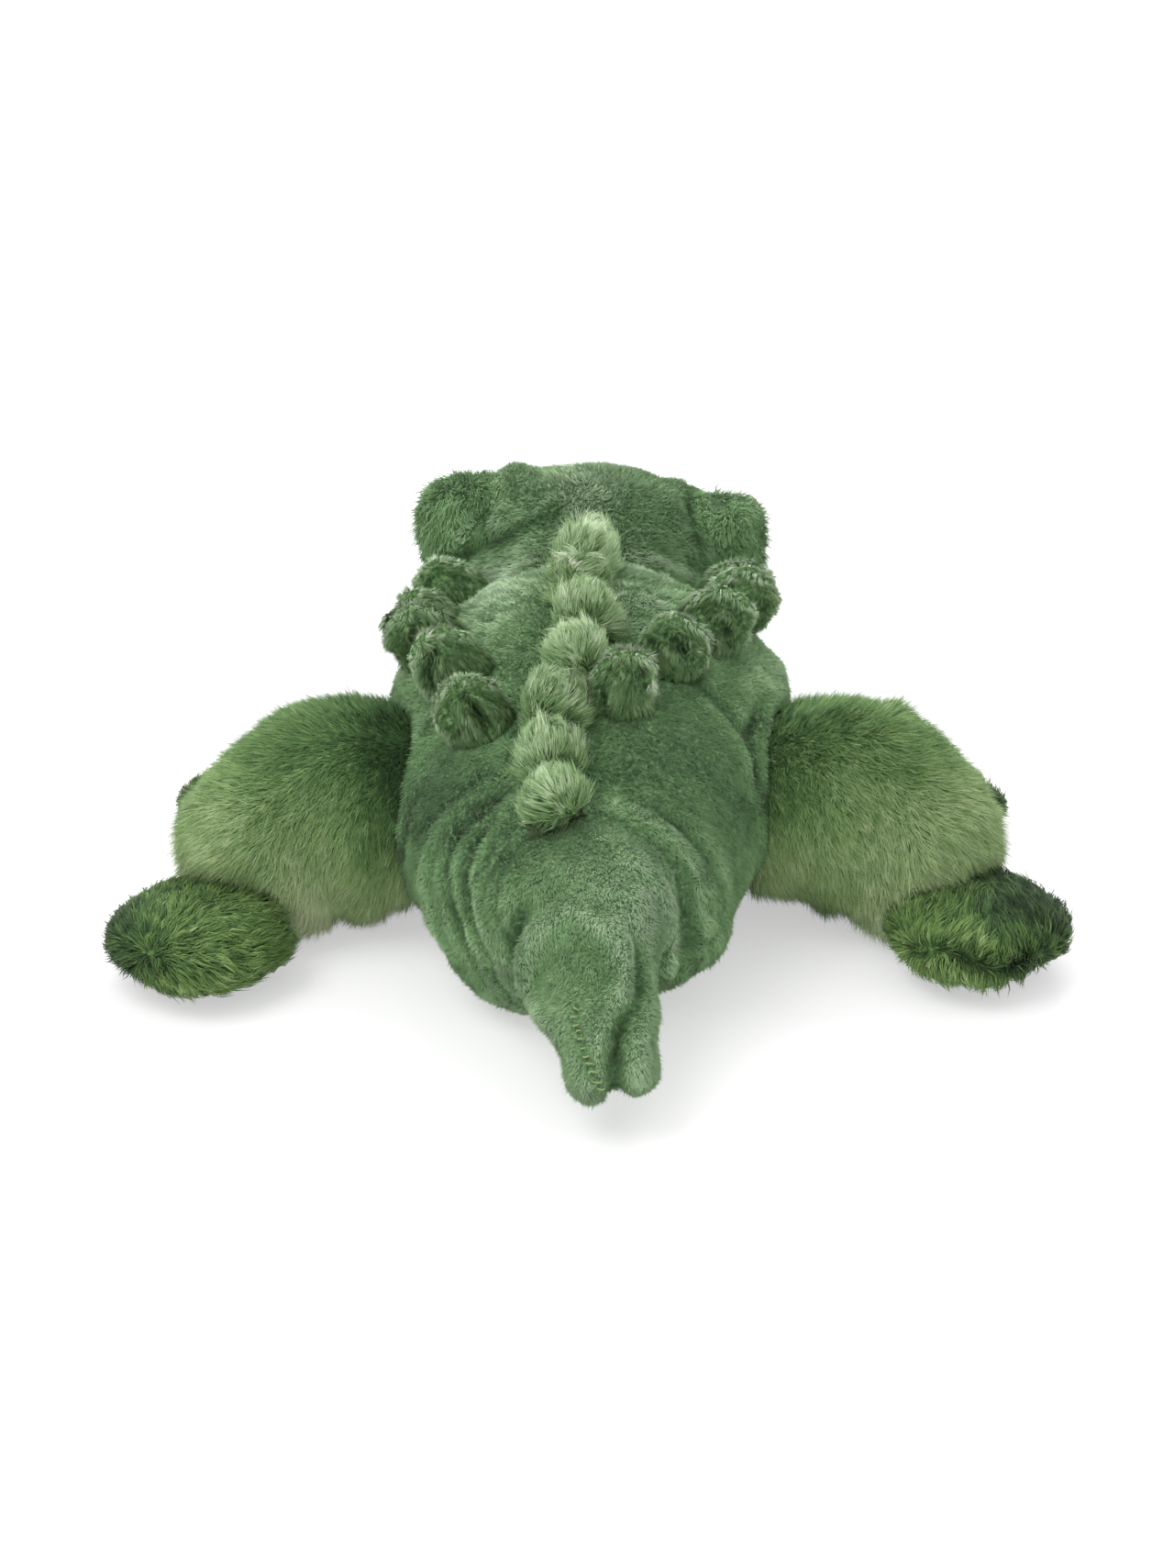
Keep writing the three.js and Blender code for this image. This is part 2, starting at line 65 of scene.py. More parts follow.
# Root balls of the limbs: joint centres and radii, as the solids have them.
ROOTS = {
    "head": ((0.0, 88.0, 47.0), 33.0),
    "tail": ((-4.0, -82.0, 37.0), 27.0),
    "left_hind_leg": ((-58.0, -6.0, 33.0), 26.0),
    "right_hind_leg": ((58.0, -6.0, 33.0), 26.0),
    "left_front_leg": ((-60.0, 42.0, 20.0), 17.0),
    "right_front_leg": ((60.0, 42.0, 20.0), 17.0),
}
GROUND = 0.25
# A skin isn't changed on a root ball, up to this far off it.
ROOT_RIM = 0.8


def norms(vectors):
    return np.linalg.norm(vectors, axis=1)


def unit(vectors):
    return vectors / np.maximum(np.linalg.norm(vectors, axis=-1, keepdims=True), 1e-9)


def smoothstep(values, low, high):
    share = np.clip((values - low) / (high - low), 0.0, 1.0)
    return share * share * (3.0 - 2.0 * share)


def bell(away, width):
    """1 at no distance, and next to nothing at twice the width."""
    return np.exp(-((away / width) ** 2))


def waves(points, scale, seed, count=14):
    """A smooth random field, near -1 to 1, whose features are about scale millimetres apart."""
    rng = np.random.default_rng(seed)
    directions = unit(rng.normal(size=(count, 3)))
    steps = directions * (2.0 * np.pi / scale) * rng.uniform(0.7, 1.4, (count, 1))
    phases = rng.uniform(0.0, 2.0 * np.pi, count)
    return np.cos(points @ steps.T + phases).sum(1) / math.sqrt(count)


def swirl(points, scale, seed):
    """Three independent fields as a vector at each point."""
    return np.stack([waves(points, scale, seed + k) for k in range(3)], 1)


# Camera

camera_back = np.array([0.0, -math.cos(VIEW_DOWN), math.sin(VIEW_DOWN)])
camera_up = np.array([0.0, math.sin(VIEW_DOWN), math.cos(VIEW_DOWN)])
camera_place = VIEW_TARGET + camera_back * VIEW_DISTANCE


def new_in_scene(name, data):
    obj = bpy.data.objects.new(name, data)
    bpy.context.scene.collection.objects.link(obj)
    return obj


def make_camera():
    data = bpy.data.cameras.new("camera")
    data.sensor_width = SENSOR
    data.lens = FOCAL * SENSOR / FRAME_HEIGHT
    data.clip_start, data.clip_end = CLIP_METRES
    camera = new_in_scene("camera", data)
    camera.location = camera_place * MM
    camera.rotation_euler = (math.pi / 2 - VIEW_DOWN, 0.0, 0.0)
    bpy.context.scene.camera = camera


def sight(x, y):
    """The direction in which the photograph's pixel x, y looks."""
    across = (x - FRAME_WIDTH / 2) / FOCAL
    up = (FRAME_HEIGHT / 2 - y) / FOCAL
    return unit(np.array([across, 0.0, 0.0]) + camera_up * up - camera_back)


def pixels(points):
    """Where the photograph shows each point."""
    away = points - camera_place
    depth = -(away @ camera_back)
    return np.stack([FRAME_WIDTH / 2 + FOCAL * away[:, 0] / depth,
                     FRAME_HEIGHT / 2 - FOCAL * (away @ camera_up) / depth], 1)


def spotted(points, spots, total):
    """Adds round spots, given by place and radius in the photograph's pixels and an amount, to a value."""
    seen = pixels(points)
    for x, y, radius, amount in spots:
        total = total + amount * np.exp(-((seen[:, 0] - x) ** 2 + (seen[:, 1] - y) ** 2) / radius ** 2)
    return total


# Skins

# How squarely a place has to face its host to be laid on it, and the gap that is left.
SEAT_FACING, SEAT_GAP = -0.35, 0.15
# How far beyond a solid a face may lie and still be that solid's.
PART_REACH = 12.0
# Uneven stuffing: how far apart its lumps and its bumps are, and how much of them goes into the relief, and
# so into painted sheen on the lumps and painted shade between them.
LUMP_SPACING, BUMP_SPACING, LUMP_RELIEF = 34.0, 11.0, 0.3
SKIN_FLOOR = 1.2


def near(points, others, reach):
    """Which points lie in the box round some others, widened by a reach."""
    return ((points > others.min(0) - reach) & (points < others.max(0) + reach)).all(1)


def pairs_of(faces):
    """The three directed edges of each face, first all the first ones."""
    return np.concatenate([faces[:, [0, 1]], faces[:, [1, 2]], faces[:, [2, 0]]])


class Skin:
    """A closed surface in millimetres, with what the pile needs to know at each of its points."""

    def __init__(self, name, body, verts, faces):
        self.name, self.body = name, body
        self.verts, self.faces = verts, faces
        self.relief = np.zeros(len(verts))
        self.renew()

    def renew(self):
        a, b, c = (self.verts[self.faces[:, k]] for k in range(3))
        cross = np.cross(b - a, c - a)
        self.areas = norms(cross) / 2
        total = np.zeros_like(self.verts)
        for corner in range(3):
            for axis in range(3):
                total[:, axis] += np.bincount(self.faces[:, corner], cross[:, axis], len(self.verts))
        self.normals = unit(total)
        self.edges = np.unique(np.sort(pairs_of(self.faces), 1), axis=0)

    def relax(self, rounds, shares=(0.5, -0.52), free=None):
        count = len(self.verts)
        first, second = self.edges[:, 0], self.edges[:, 1]
        degree = np.bincount(self.edges.ravel(), minlength=count)[:, None]
        for share in tuple(shares) * rounds:
            total = np.stack([
                np.bincount(first, along[second], count) + np.bincount(second, along[first], count)
                for along in self.verts.T
            ], 1)
            move = share * (total / degree - self.verts)
            self.verts = self.verts + (move if free is None else move * free[:, None])
        self.renew()

    def tree(self):
        return BVHTree.FromPolygons(self.verts.tolist(), self.faces.tolist())


def triangles_of(mesh):
    mesh.calc_loop_triangles()
    verts = np.empty(len(mesh.vertices) * 3)
    mesh.vertices.foreach_get("co", verts)
    faces = np.empty(len(mesh.loop_triangles) * 3, np.int32)
    mesh.loop_triangles.foreach_get("vertices", faces)
    return verts.reshape(-1, 3) / MM, faces.reshape(-1, 3)


def largest_part(verts, faces):
    """Leaves out inner surfaces and crumbs."""
    label = np.arange(len(verts))
    while True:
        low = label[faces].min(1)
        new = label.copy()
        for corner in range(3):
            np.minimum.at(new, faces[:, corner], low)
        new = new[new]
        if (new == label).all():
            break
        label = new
    names, counts = np.unique(label, return_counts=True)
    kept = label == names[counts.argmax()]
    index = np.cumsum(kept) - 1
    return verts[kept], index[faces[kept[faces[:, 0]]]]


def united(nodes, voxel, fillers=()):
    """One closed surface round some solids of the frame, and round extra balls where they leave holes."""
    bm = bmesh.new()
    for node in nodes:
        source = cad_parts[node]
        copy = source.data.copy()
        copy.transform(source.matrix_world)
        bm.from_mesh(copy)
        bpy.data.meshes.remove(copy)
    for centre, radii in fillers:
        made = bmesh.ops.create_icosphere(bm, subdivisions=3, radius=1.0)
        for vert in made["verts"]:
            vert.co = Vector([(centre[k] + radii[k] * vert.co[k]) * MM for k in range(3)])
    mesh = bpy.data.meshes.new("scratch")
    bm.to_mesh(mesh)
    bm.free()
    carrier = new_in_scene("scratch", mesh)
    modifier = carrier.modifiers.new("remesh", "REMESH")
    modifier.mode = "VOXEL"
    modifier.voxel_size = voxel * MM
    result = bpy.data.meshes.new_from_object(carrier.evaluated_get(bpy.context.evaluated_depsgraph_get()))
    found = largest_part(*triangles_of(result))
    bpy.data.objects.remove(carrier)
    bpy.data.meshes.remove(mesh)
    bpy.data.meshes.remove(result)
    return found


def from_root(points, name):
    centre, radius = ROOTS[name]
    return norms(points - np.array(centre)) - radius


def spared(share, points, roots, reach):
    """Brings a share down to nothing on the root balls, over a reach."""
    for root in roots:
        share = share * smoothstep(from_root(points, root), ROOT_RIM, reach)
    return share


def draw_in(skin, depth, roots=(), low=0.0):
    """Moves a skin in by the height of its pile, and by more below, except against a root ball or seat."""
    share = spared(1.0 - low * skin.normals[:, 2], skin.verts, roots, 9.0)
    skin.verts = skin.verts - skin.normals * (depth * share)[:, None]
    skin.renew()


def seat_on(skin, host, reach):
    """Lays the side of a skin that faces its host on the host's own surface."""
    tree = host.tree()
    free = np.ones(len(skin.verts))
    for index, (point, normal) in enumerate(zip(skin.verts.tolist(), skin.normals.tolist())):
        place, facing, _, _ = tree.find_nearest(point, reach)
        if place is not None and facing.dot(Vector(normal)) <= SEAT_FACING:
            skin.verts[index] = place + facing * SEAT_GAP
            free[index] = 0.0
    skin.renew()
    skin.relax(2, (0.4,), free)


def make_skin(name, body, nodes, voxel, depth, roots=(), rounds=14, fillers=(), low=0.0):
    skin = Skin(name, body, *united(nodes, voxel, fillers))
    skin.relax(rounds)
    draw_in(skin, depth, roots, low)
    skin.nodes = nodes
    return skin


def parted(whole, pieces, apexes, handicaps=(0.0, 0.0, 0.0)):
    """Parts one surface into the pieces whose solids lie nearest, each closed inside round a point.

    pieces: name, body and nodes of each, the first the host; apexes: where the host and each other close;
    handicaps: millimetres that count against a piece in the comparison.
    """
    centres = whole.verts[whole.faces].mean(1)
    away = np.full((len(pieces), len(centres)), np.inf)
    for index, (_, _, nodes) in enumerate(pieces):
        verts, faces = triangles_of(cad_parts[nodes[0]].data)
        cover = BVHTree.FromPolygons(verts.tolist(), faces.tolist())
        for face in np.flatnonzero(near(centres, verts, PART_REACH)):
            away[index, face] = cover.find_nearest(Vector(centres[face]))[3] + handicaps[index]
    label = away.argmin(0)
    count = len(whole.verts)
    pairs = pairs_of(whole.faces)
    owner = np.tile(label, 3)
    keys = pairs[:, 0] * count + pairs[:, 1]
    order = np.argsort(keys)
    partner = order[np.searchsorted(keys, pairs[:, 1] * count + pairs[:, 0], sorter=order)]
    across = owner[partner]
    made = []
    for index, (name, body, nodes) in enumerate(pieces):
        faces = [whole.faces[label == index]]
        for other in range(len(pieces)):
            rim = pairs[(owner == index) & (across == other) & (owner != across)]
            apex = max(index, other) - 1
            if len(rim):
                faces.append(np.stack([rim[:, 1], rim[:, 0], np.full(len(rim), count + apex)], 1))
        own = len(faces[0])
        used, faces = np.unique(np.concatenate(faces), return_inverse=True)
        verts = np.vstack([whole.verts, apexes])
        skin = Skin(name, body, verts[used], faces.reshape(-1, 3))
        skin.normals = np.vstack([whole.normals, np.tile([0.0, 0.0, 1.0], (len(apexes), 1))])[used]
        skin.relief = np.append(whole.relief, np.zeros(len(apexes)))[used]
        skin.areas[own:] = 0.0
        skin.nodes = nodes
        made.append(skin)
    return made


# Folds: depth and width in millimetres, and a line in the photograph's pixels. A minus depth is a ridge.
# Through the relief, folds also get painted shade in their dips and painted sheen on their ridges.

FOLDS = [
    (2.6, 3.2, [(605, 559), (566, 578), (520, 601), (489, 625)]),
    (-1.6, 4.2, [(600, 612), (560, 622), (535, 636), (497, 660)]),
    (2.4, 2.4, [(664, 627), (705, 623), (739, 643), (760, 650)]),
    (-1.8, 2.4, [(664, 606), (700, 606), (735, 618), (762, 632)]),
    (2.4, 2.2, [(662, 648), (697, 648), (735, 660)]),
    (-1.4, 2.2, [(662, 660), (700, 658), (728, 664)]),
    (2.2, 2.4, [(658, 676), (689, 671), (722, 679)]),
    (2.6, 2.2, [(575, 850), (533, 878), (506, 908), (495, 945), (497, 990), (516, 1035), (545, 1077)]),
    (-2.2, 2.4, [(553, 843), (521, 865), (487, 905), (472, 950), (474, 996), (495, 1045), (528, 1085)]),
    (2.4, 1.9, [(541, 893), (522, 922), (513, 958), (517, 999), (540, 1045), (566, 1083)]),
    (-1.8, 1.9, [(553, 885), (534, 925), (524, 960), (530, 1003), (550, 1044), (576, 1080)]),
    (2.2, 1.9, [(560, 928), (545, 965), (547, 1010), (568, 1055), (585, 1092)]),
    (1.8, 2.8, [(538, 518), (533, 545), (530, 575), (532, 598)]),
    (1.8, 2.8, [(747, 535), (752, 560), (757, 590), (765, 612)]),
    (-2.4, 3.0, [(612, 995), (588, 1017), (579, 1045), (583, 1076), (597, 1108), (612, 1131)]),
    (2.6, 2.4, [(573, 985), (562, 1015), (566, 1055), (585, 1095)]),
    (-2.2, 2.8, [(628, 985), (657, 1008), (675, 1031), (680, 1058), (676, 1092)]),
    (1.8, 2.2, [(685, 1013), (694, 1045), (695, 1078), (689, 1108)]),
    (-1.9, 2.8, [(648, 905), (689, 940), (716, 981), (727, 1022), (727, 1058), (720, 1095), (716, 1135)]),
    (1.8, 2.4, [(662, 892), (712, 923), (741, 958), (748, 1000), (747, 1035), (738, 1062)]),
    (-1.3, 2.4, [(668, 878), (720, 908), (755, 945), (768, 985), (768, 1020)]),
    (1.8, 2.2, [(670, 862), (728, 892), (768, 930), (788, 972), (788, 1005)]),
    (2.0, 3.0, [(449, 870), (443, 915), (446, 965), (456, 1005)]),
    (1.8, 3.0, [(828, 762), (815, 800), (822, 850), (838, 890)]),
    (1.5, 2.6, [(742, 700), (760, 745), (800, 790), (822, 840)]),
    (1.6, 3.0, [(432, 745), (446, 790), (444, 830)]),
    (1.2, 1.6, [(628, 1092), (629, 1113), (636, 1135), (643, 1158), (652, 1184)]),
    (3.6, 2.6, [(684, 1100), (677, 1125), (672, 1150), (670, 1170), (669, 1190)]),
]
SPIKE_SEAMS = {
    "left_spike_5_skin": [(491, 746), (505, 757), (520, 775), (534, 794), (543, 805)],
    "left_spike_4_skin": [(472, 708), (466, 726), (471, 745), (485, 758)],
    "left_spike_3_skin": [(446, 702), (452, 689), (468, 684), (486, 694)],
    "right_spike_5_skin": [(656, 716), (656, 745), (665, 780)],
    "right_spike_4_skin": [(722, 690), (742, 700), (754, 722), (750, 744)],
    "right_spike_3_skin": [(766, 668), (788, 679), (798, 700), (792, 718)],
}
TAIL_SEAM = [(630, 1096), (627, 1110), (634, 1130), (640, 1149), (648, 1172), (655, 1186)]
FOOT_SEAM = [(960, 1028), (998, 1033), (1034, 1037), (1079, 1054), (1101, 1060), (1135, 1043), (1165, 1026)]
FOOT_WHORL = (165, 1038)
# A fold's section, in its own widths: depth and width of the dip, height and place of the bulges, its end.
DIP, DIP_WIDTH, BULGE, BULGE_PLACE, FOLD_REACH = 1.15, 0.85, 0.35, 1.9, 6.0


def cast_line(path, tree):
    found = []
    for x, y in path:
        hit = tree.ray_cast(Vector(camera_place), Vector(sight(x, y)), 3.0 * VIEW_DISTANCE)
        if hit[0] is not None:
            found.append(np.array(hit[0]))
    return np.array(found)


def travelled(line):
    """How far along a line each of its points is."""
    return np.concatenate([[0.0], np.cumsum(norms(np.diff(line, axis=0)))])


def distance_to_line(points, line):
    """How far each point is from a line, its share of the way along it, and the offset from it."""
    best = np.full(len(points), 1e9)
    along = np.zeros(len(points))
    offset = np.zeros_like(points)
    reached = travelled(line)
    for index, step in enumerate(norms(np.diff(line, axis=0))):
        way = (line[index + 1] - line[index]) / max(step, 1e-6)
        at = np.clip((points - line[index]) @ way, 0.0, step)
        apart = points - line[index] - at[:, None] * way
        away = norms(apart)
        closer = away < best
        best = np.where(closer, away, best)
        offset = np.where(closer[:, None], apart, offset)
        along = np.where(closer, (reached[index] + at) / reached[-1], along)
    return best, along, offset


def press(skin, line, depth, width):
    """Adds one fold along a line to a skin's relief, with a soft bulge on either side."""
    away, along, _ = distance_to_line(skin.verts, line)
    ends = np.sin(np.pi * np.clip(along, 0.04, 0.96)) ** 0.5
    section = DIP * bell(away, DIP_WIDTH * width) - BULGE * bell(away - BULGE_PLACE * width, width)
    skin.relief -= depth * ends * section * (away < FOLD_REACH * width)


# Swells: places in the photograph's pixels, with a radius in pixels and a height in millimetres.

SWELLS = [
    (430, 730, 38, 2.6), (850, 730, 38, 2.6), (545, 655, 45, 0.8), (690, 1000, 34, 1.6),
    (610, 1020, 30, 0.8), (560, 1080, 40, 1.2), (700, 960, 40, 1.2), (770, 950, 40, 0.6),
    (500, 950, 40, 0.8), (553, 1120, 18, -3.0), (592, 1112, 24, 2.6), (735, 1095, 34, 2.0),
    (790, 1040, 34, 1.6), (642, 1182, 20, 2.4), (694, 1170, 22, 2.2), (674, 1200, 11, -7.0),
    (512, 498, 28, -3.6), (790, 522, 32, -4.2), (562, 514, 24, 1.8), (746, 530, 22, 2.0),
    (460, 546, 20, 1.6), (828, 556, 18, 1.3),
]
SPIKE_SWELLS = [(422, 648, 22, -5.0), (410, 665, 14, -3.0), (712, 750, 20, -3.0), (645, 725, 14, -1.5)]
FOOT_SWELLS = [(136, 1080, 30, -3.2), (1132, 1084, 32, -3.8), (320, 1044, 20, 3.6), (1084, 846, 16, -3.5)]
LIMB_SWELLS = [
    (336, 1014, 36, 5.0), (434, 990, 26, 3.0), (205, 905, 40, 1.8), (218, 950, 26, 2.4),
    (880, 988, 34, -3.0), (958, 1012, 34, 4.5), (1092, 935, 24, 1.6),
]
# Share of a swell that goes into the relief, and so into painted sheen or painted shade on the pile.
SWELL_RELIEF = 0.4


def swell(skin, swells):
    """Swells the side of a skin that the photograph shows, and its rim, and tones the pile there: painted
    sheen on swells and painted shade in dips.
    """
    total = spotted(skin.verts, swells, np.zeros(len(skin.verts)))
    total *= smoothstep(skin.normals @ camera_back, -0.6, 0.0)
    skin.verts = skin.verts + skin.normals * total[:, None]
    skin.relief = skin.relief + SWELL_RELIEF * total
    skin.renew()


def fold(skins, tree):
    for depth, width, path in FOLDS:
        line = cast_line(path, tree)
        if len(line) > 1:
            for skin in skins:
                press(skin, line, depth, width)


def raise_relief(skin):
    skin.verts = skin.verts + skin.normals * skin.relief[:, None]
    skin.renew()


def sculpt(skin, roots, soft=0.55, fine=0.16, seed=11):
    """Adds the folds and the uneven stuffing to a skin, and leaves it as it is against its roots."""
    free = spared(np.ones(len(skin.verts)), skin.verts, roots, 7.0)
    lumps = soft * waves(skin.verts, LUMP_SPACING, seed) + fine * waves(skin.verts, BUMP_SPACING, seed + 5)
    skin.verts = skin.verts + skin.normals * ((skin.relief + lumps) * free)[:, None]
    skin.verts[:, 2] = np.maximum(skin.verts[:, 2], SKIN_FLOOR)
    skin.relief = skin.relief + LUMP_RELIEF * lumps
    skin.renew()


def square_up(skin, share, narrow):
    """Fills out the corners of a round skin, as seen from above, and draws its sides in by a share."""
    low, high = skin.verts.min(0)[:2], skin.verts.max(0)[:2]
    middle = (low + high) / 2
    place = (2 * skin.verts[:, :2] - low - high) / (high - low)
    squared = np.maximum((place ** 4).sum(1) ** 0.25, 1e-6)
    grown = np.maximum(norms(place) / squared, 1.0) ** share
    skin.verts[:, :2] = middle + (skin.verts[:, :2] - middle) * grown[:, None] * np.array([narrow, 1.0])
    skin.renew()


# The seam round a back spike: its height and width, and the depth and place of the furrows beside it.
RIM, RIM_WIDTH, FURROW, FURROW_PLACE = 2.1, 1.2, 1.4, 3.0
RIDGE_HEIGHT = 44.0


def rim_spike(skin):
    """Raises the seam round the edge of a back spike, with a furrow on either side of it."""
    middle = skin.verts.mean(0)
    skin.outward = unit(middle - np.array([0.0, middle[1], RIDGE_HEIGHT]))
    skin.flat = unit(np.cross(skin.outward, [1.0, 0.0, 0.0]))
    off = np.abs((skin.verts - middle) @ skin.flat)
    above = smoothstep((skin.verts - middle) @ skin.outward, -4.0, 2.0)
    height = RIM + 0.25 * waves(skin.verts, 4.0, 7)
    skin.relief = above * (height * bell(off, RIM_WIDTH) - FURROW * bell(off - FURROW_PLACE, RIM_WIDTH))
    seam = cast_line(SPIKE_SEAMS.get(skin.name, []), skin.tree())
    if len(seam) > 1:
        press(skin, seam, depth=2.6, width=1.4)
    raise_relief(skin)


# Meshes and materials

MAP = "OFBake"


def linear(code):
    """A colour written as the screen shows it, as Blender's linear numbers."""
    channels = [int(code[k:k + 2], 16) / 255 for k in (1, 3, 5)]
    return tuple(c / 12.92 if c <= 0.04045 else ((c + 0.055) / 1.055) ** 2.4 for c in channels) + (1.0,)


def grey(value):
    return (value, value, value, 1.0)


def new_object(name, mesh, body, material):
    obj = new_in_scene(name, mesh)
    mesh.materials.append(material)
    if body == "tail":
        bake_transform(obj)
    else:
        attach(obj, body)
    return obj


def filled_mesh(name, verts, faces, maps=None):
    """A smooth-shaded mesh, with its own map if there is one: x and y at each corner of each face."""
    mesh = bpy.data.meshes.new(name)
    mesh.vertices.add(len(verts))
    mesh.vertices.foreach_set("co", (verts * MM).astype(np.float32).ravel())
    mesh.loops.add(faces.size)
    mesh.loops.foreach_set("vertex_index", faces.astype(np.int32).ravel())
    mesh.polygons.add(len(faces))
    mesh.polygons.foreach_set("loop_start", (np.arange(len(faces)) * faces.shape[1]).astype(np.int32))
    mesh.update(calc_edges=True)
    mesh.polygons.foreach_set("use_smooth", np.ones(len(faces), bool))
    if maps is not None:
        mesh.uv_layers.new(name=MAP).uv.foreach_set("vector", maps.astype(np.float32).ravel())
    return mesh


def feed(tree, node, inputs):
    """Links the inputs of a node that are given as another node's output, and sets the others."""
    for name, value in inputs.items():
        if isinstance(value, bpy.types.NodeSocket):
            tree.links.new(value, node.inputs[name])
        else:
            node.inputs[name].default_value = value
    return node


def add_node(tree, kind, inputs, **settings):
    node = tree.nodes.new("ShaderNode" + kind)
    for name, value in settings.items():
        setattr(node, name, value)
    return feed(tree, node, inputs)


def new_material(name, inputs):
    """A material, its tree and its shader, whose inputs are set."""
    material = bpy.data.materials.new(name)
    material.use_nodes = True
    tree = material.node_tree
    shader = feed(tree, tree.nodes["Principled BSDF"], {"Specular IOR Level": 0.2, **inputs})
    return material, tree, shader


def ramp(tree, source, stops):
    """A colour ramp's colours; the stops are positions and colours."""
    node = add_node(tree, "ValToRGB", {"Fac": source})
    elements = node.color_ramp.elements
    while len(elements) > 1:
        elements.remove(elements[-1])
    elements[0].position, elements[0].color = stops[0]
    for position, colour in stops[1:]:
        elements.new(position).color = colour
    return node.outputs["Color"]


def coded(positions, codes):
    return [(position, linear(code)) for position, code in zip(positions, codes)]


def textured(name, inputs, kind, texture, stops, bump, **settings):
    """A material whose colour and bump follow one texture. The bump is a strength and a depth."""
    material, tree, shader = new_material(name, inputs)
    place = add_node(tree, "TexCoord", {}).outputs["Object"]
    grain = add_node(tree, kind, {"Vector": place, **texture}, **settings).outputs["Fac"]
    rough = add_node(tree, "Bump", {"Height": grain, "Strength": bump[0], "Distance": bump[1] * MM})
    feed(tree, shader, {"Base Color": ramp(tree, grain, stops), "Normal": rough.outputs["Normal"]})
    return material


def own_map(tree):
    """A mesh's own map, and its x and y."""
    whole = add_node(tree, "UVMap", {}, uv_map=MAP).outputs["UV"]
    parts = add_node(tree, "SeparateXYZ", {"Vector": whole})
    return whole, parts.outputs["X"], parts.outputs["Y"]


PALETTES = {
    "body_plush": ("#394b35", "#5c7a53", "#7ba26d", "#9ec18f", "#c0dab2"),
    "limb_plush": ("#314a2c", "#597d4a", "#83a566", "#adc88b", "#d9e8b8"),
    "tuft_plush": ("#37502e", "#648550", "#8dac76", "#b4cc9f", "#dfedcd"),
    "foot_plush": ("#22351e", "#4b683a", "#769553", "#a1b87f", "#d0ddb3"),
    "spike_plush": ("#283d24", "#506e43", "#7a9967", "#a8c297", "#d9e8cd"),
    "belly_plush": ("#6b7a45", "#a0ac70", "#c3cc92", "#dae0b2", "#f0f2d6"),
    "nostril_cloth": ("#101d14", "#1d3323", "#2b4832", "#3b5d42", "#5c7f62"),
}


def pile_material(slot):
    """Pile reads its own map: x is the strand's tone, from dark to pale, y the way from foot to tip, along
    which the colour darkens toward the foot as painted shade deep in the pile.
    """
    material, tree, shader = new_material(slot + "_pile", {
        "Roughness": 0.75, "Sheen Weight": 0.14, "Sheen Roughness": 0.35, "Sheen Tint": linear("#d2e8c4"),
    })
    _, x, y = own_map(tree)
    tone = ramp(tree, x, coded((0.0, 0.25, 0.5, 0.75, 1.0), PALETTES[slot]))
    # Painted shade: strands darken from tip to foot, where the pile shades itself.
    depth = ramp(tree, y, [(0.0, grey(0.48)), (0.45, grey(0.84)), (0.85, grey(1.0))])
    inputs = {"Factor": 1.0, "A": tone, "B": depth}
    mixed = add_node(tree, "Mix", inputs, data_type="RGBA", blend_type="MULTIPLY")
    feed(tree, shader, {"Base Color": mixed.outputs["Result"]})
    return material


def skin_material(slot):
    """The dense foot of the pile on its backing cloth, in the pile's darkest colours, partly the cloth's
    own and partly painted shade deep in the pile: mottled, matt and finely rough.
    """
    return textured(slot + "_cloth", {"Roughness": 0.95}, "TexNoise", {"Scale": 900.0, "Detail": 4.0},
                    coded((0.3, 0.55, 0.75), PALETTES[slot]), bump=(0.6, 0.4))


MATERIALS = {}


def material_for(slot, make):
    """The material that make gives a slot, made once."""
    if (slot, make) not in MATERIALS:
        MATERIALS[slot, make] = make(slot)
    return MATERIALS[slot, make]


def show_skin(skin, slot):
    mesh = filled_mesh(skin.name, skin.verts, skin.faces)
    obj = new_object(skin.name, mesh, skin.body, material_for(slot, skin_material))
    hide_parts(*skin.nodes)


# Pile

# The most strands of one mesh, by the triangles of a strand.
MOST_STRANDS = {3: 60000, 9: 21000}
# No pile grows where another piece is as near as this, and pile gets no shorter than a share beside one.
COVER_REACH, CROWDED_LENGTH, ROOMY_LENGTH = 3.0, 0.45, 0.55
# The stray of the lie: share, spacing and seed step of a broad and a fine field.
STRAY_FIELDS = ((0.55, 21.0, 40), (0.35, 6.0, 50))
LEAN_LIMITS, TIP_LEAN_LIMIT = (0.05, 1.45), 1.5
LENGTH_LIMITS = (0.3, 1.8)
# Strands that stand out of the sheared pile: how many, and how long.
OUTLIERS, OUTLIER_LENGTH = 0.06, 1.45
ROOT_DEPTH = 0.5
# Painted sheen and painted shade: raised relief makes the pile paler and sunken relief darker; this is how
# much, and how far down and up it can take the tone.
RELIEF_SHEEN_AND_SHADE, RELIEF_SHEEN_AND_SHADE_LIMITS = 0.19, (-0.42, 0.28)
TONE_LIMITS = (0.012, 0.988)
# A strand's own map: shift of tone and height at each of three corners, at the bend and at the tip.
CORNER_TONES, CORNER_HEIGHTS, BEND_HEIGHT, TIP_HEIGHT = (-0.008, 0.008, 0.0), (0.01, 0.01, 0.06), 0.45, 0.99
BEND_THICKNESS = 0.82


def covered(skin, others, reach):
    """Which faces of a skin lie against another piece, where no pile can stand."""
    centres = skin.verts[skin.faces].mean(1)
    outward = unit(skin.normals[skin.faces].sum(1))
    hidden = np.zeros(len(centres), bool)
    for other in others:
        tree = other.tree()
        for index in np.flatnonzero(near(centres, other.verts, reach) & ~hidden):
            start = Vector(centres[index] - outward[index] * 0.3)
            if tree.ray_cast(start, Vector(outward[index]), reach)[0] is not None:
                hidden[index] = True
    return hidden


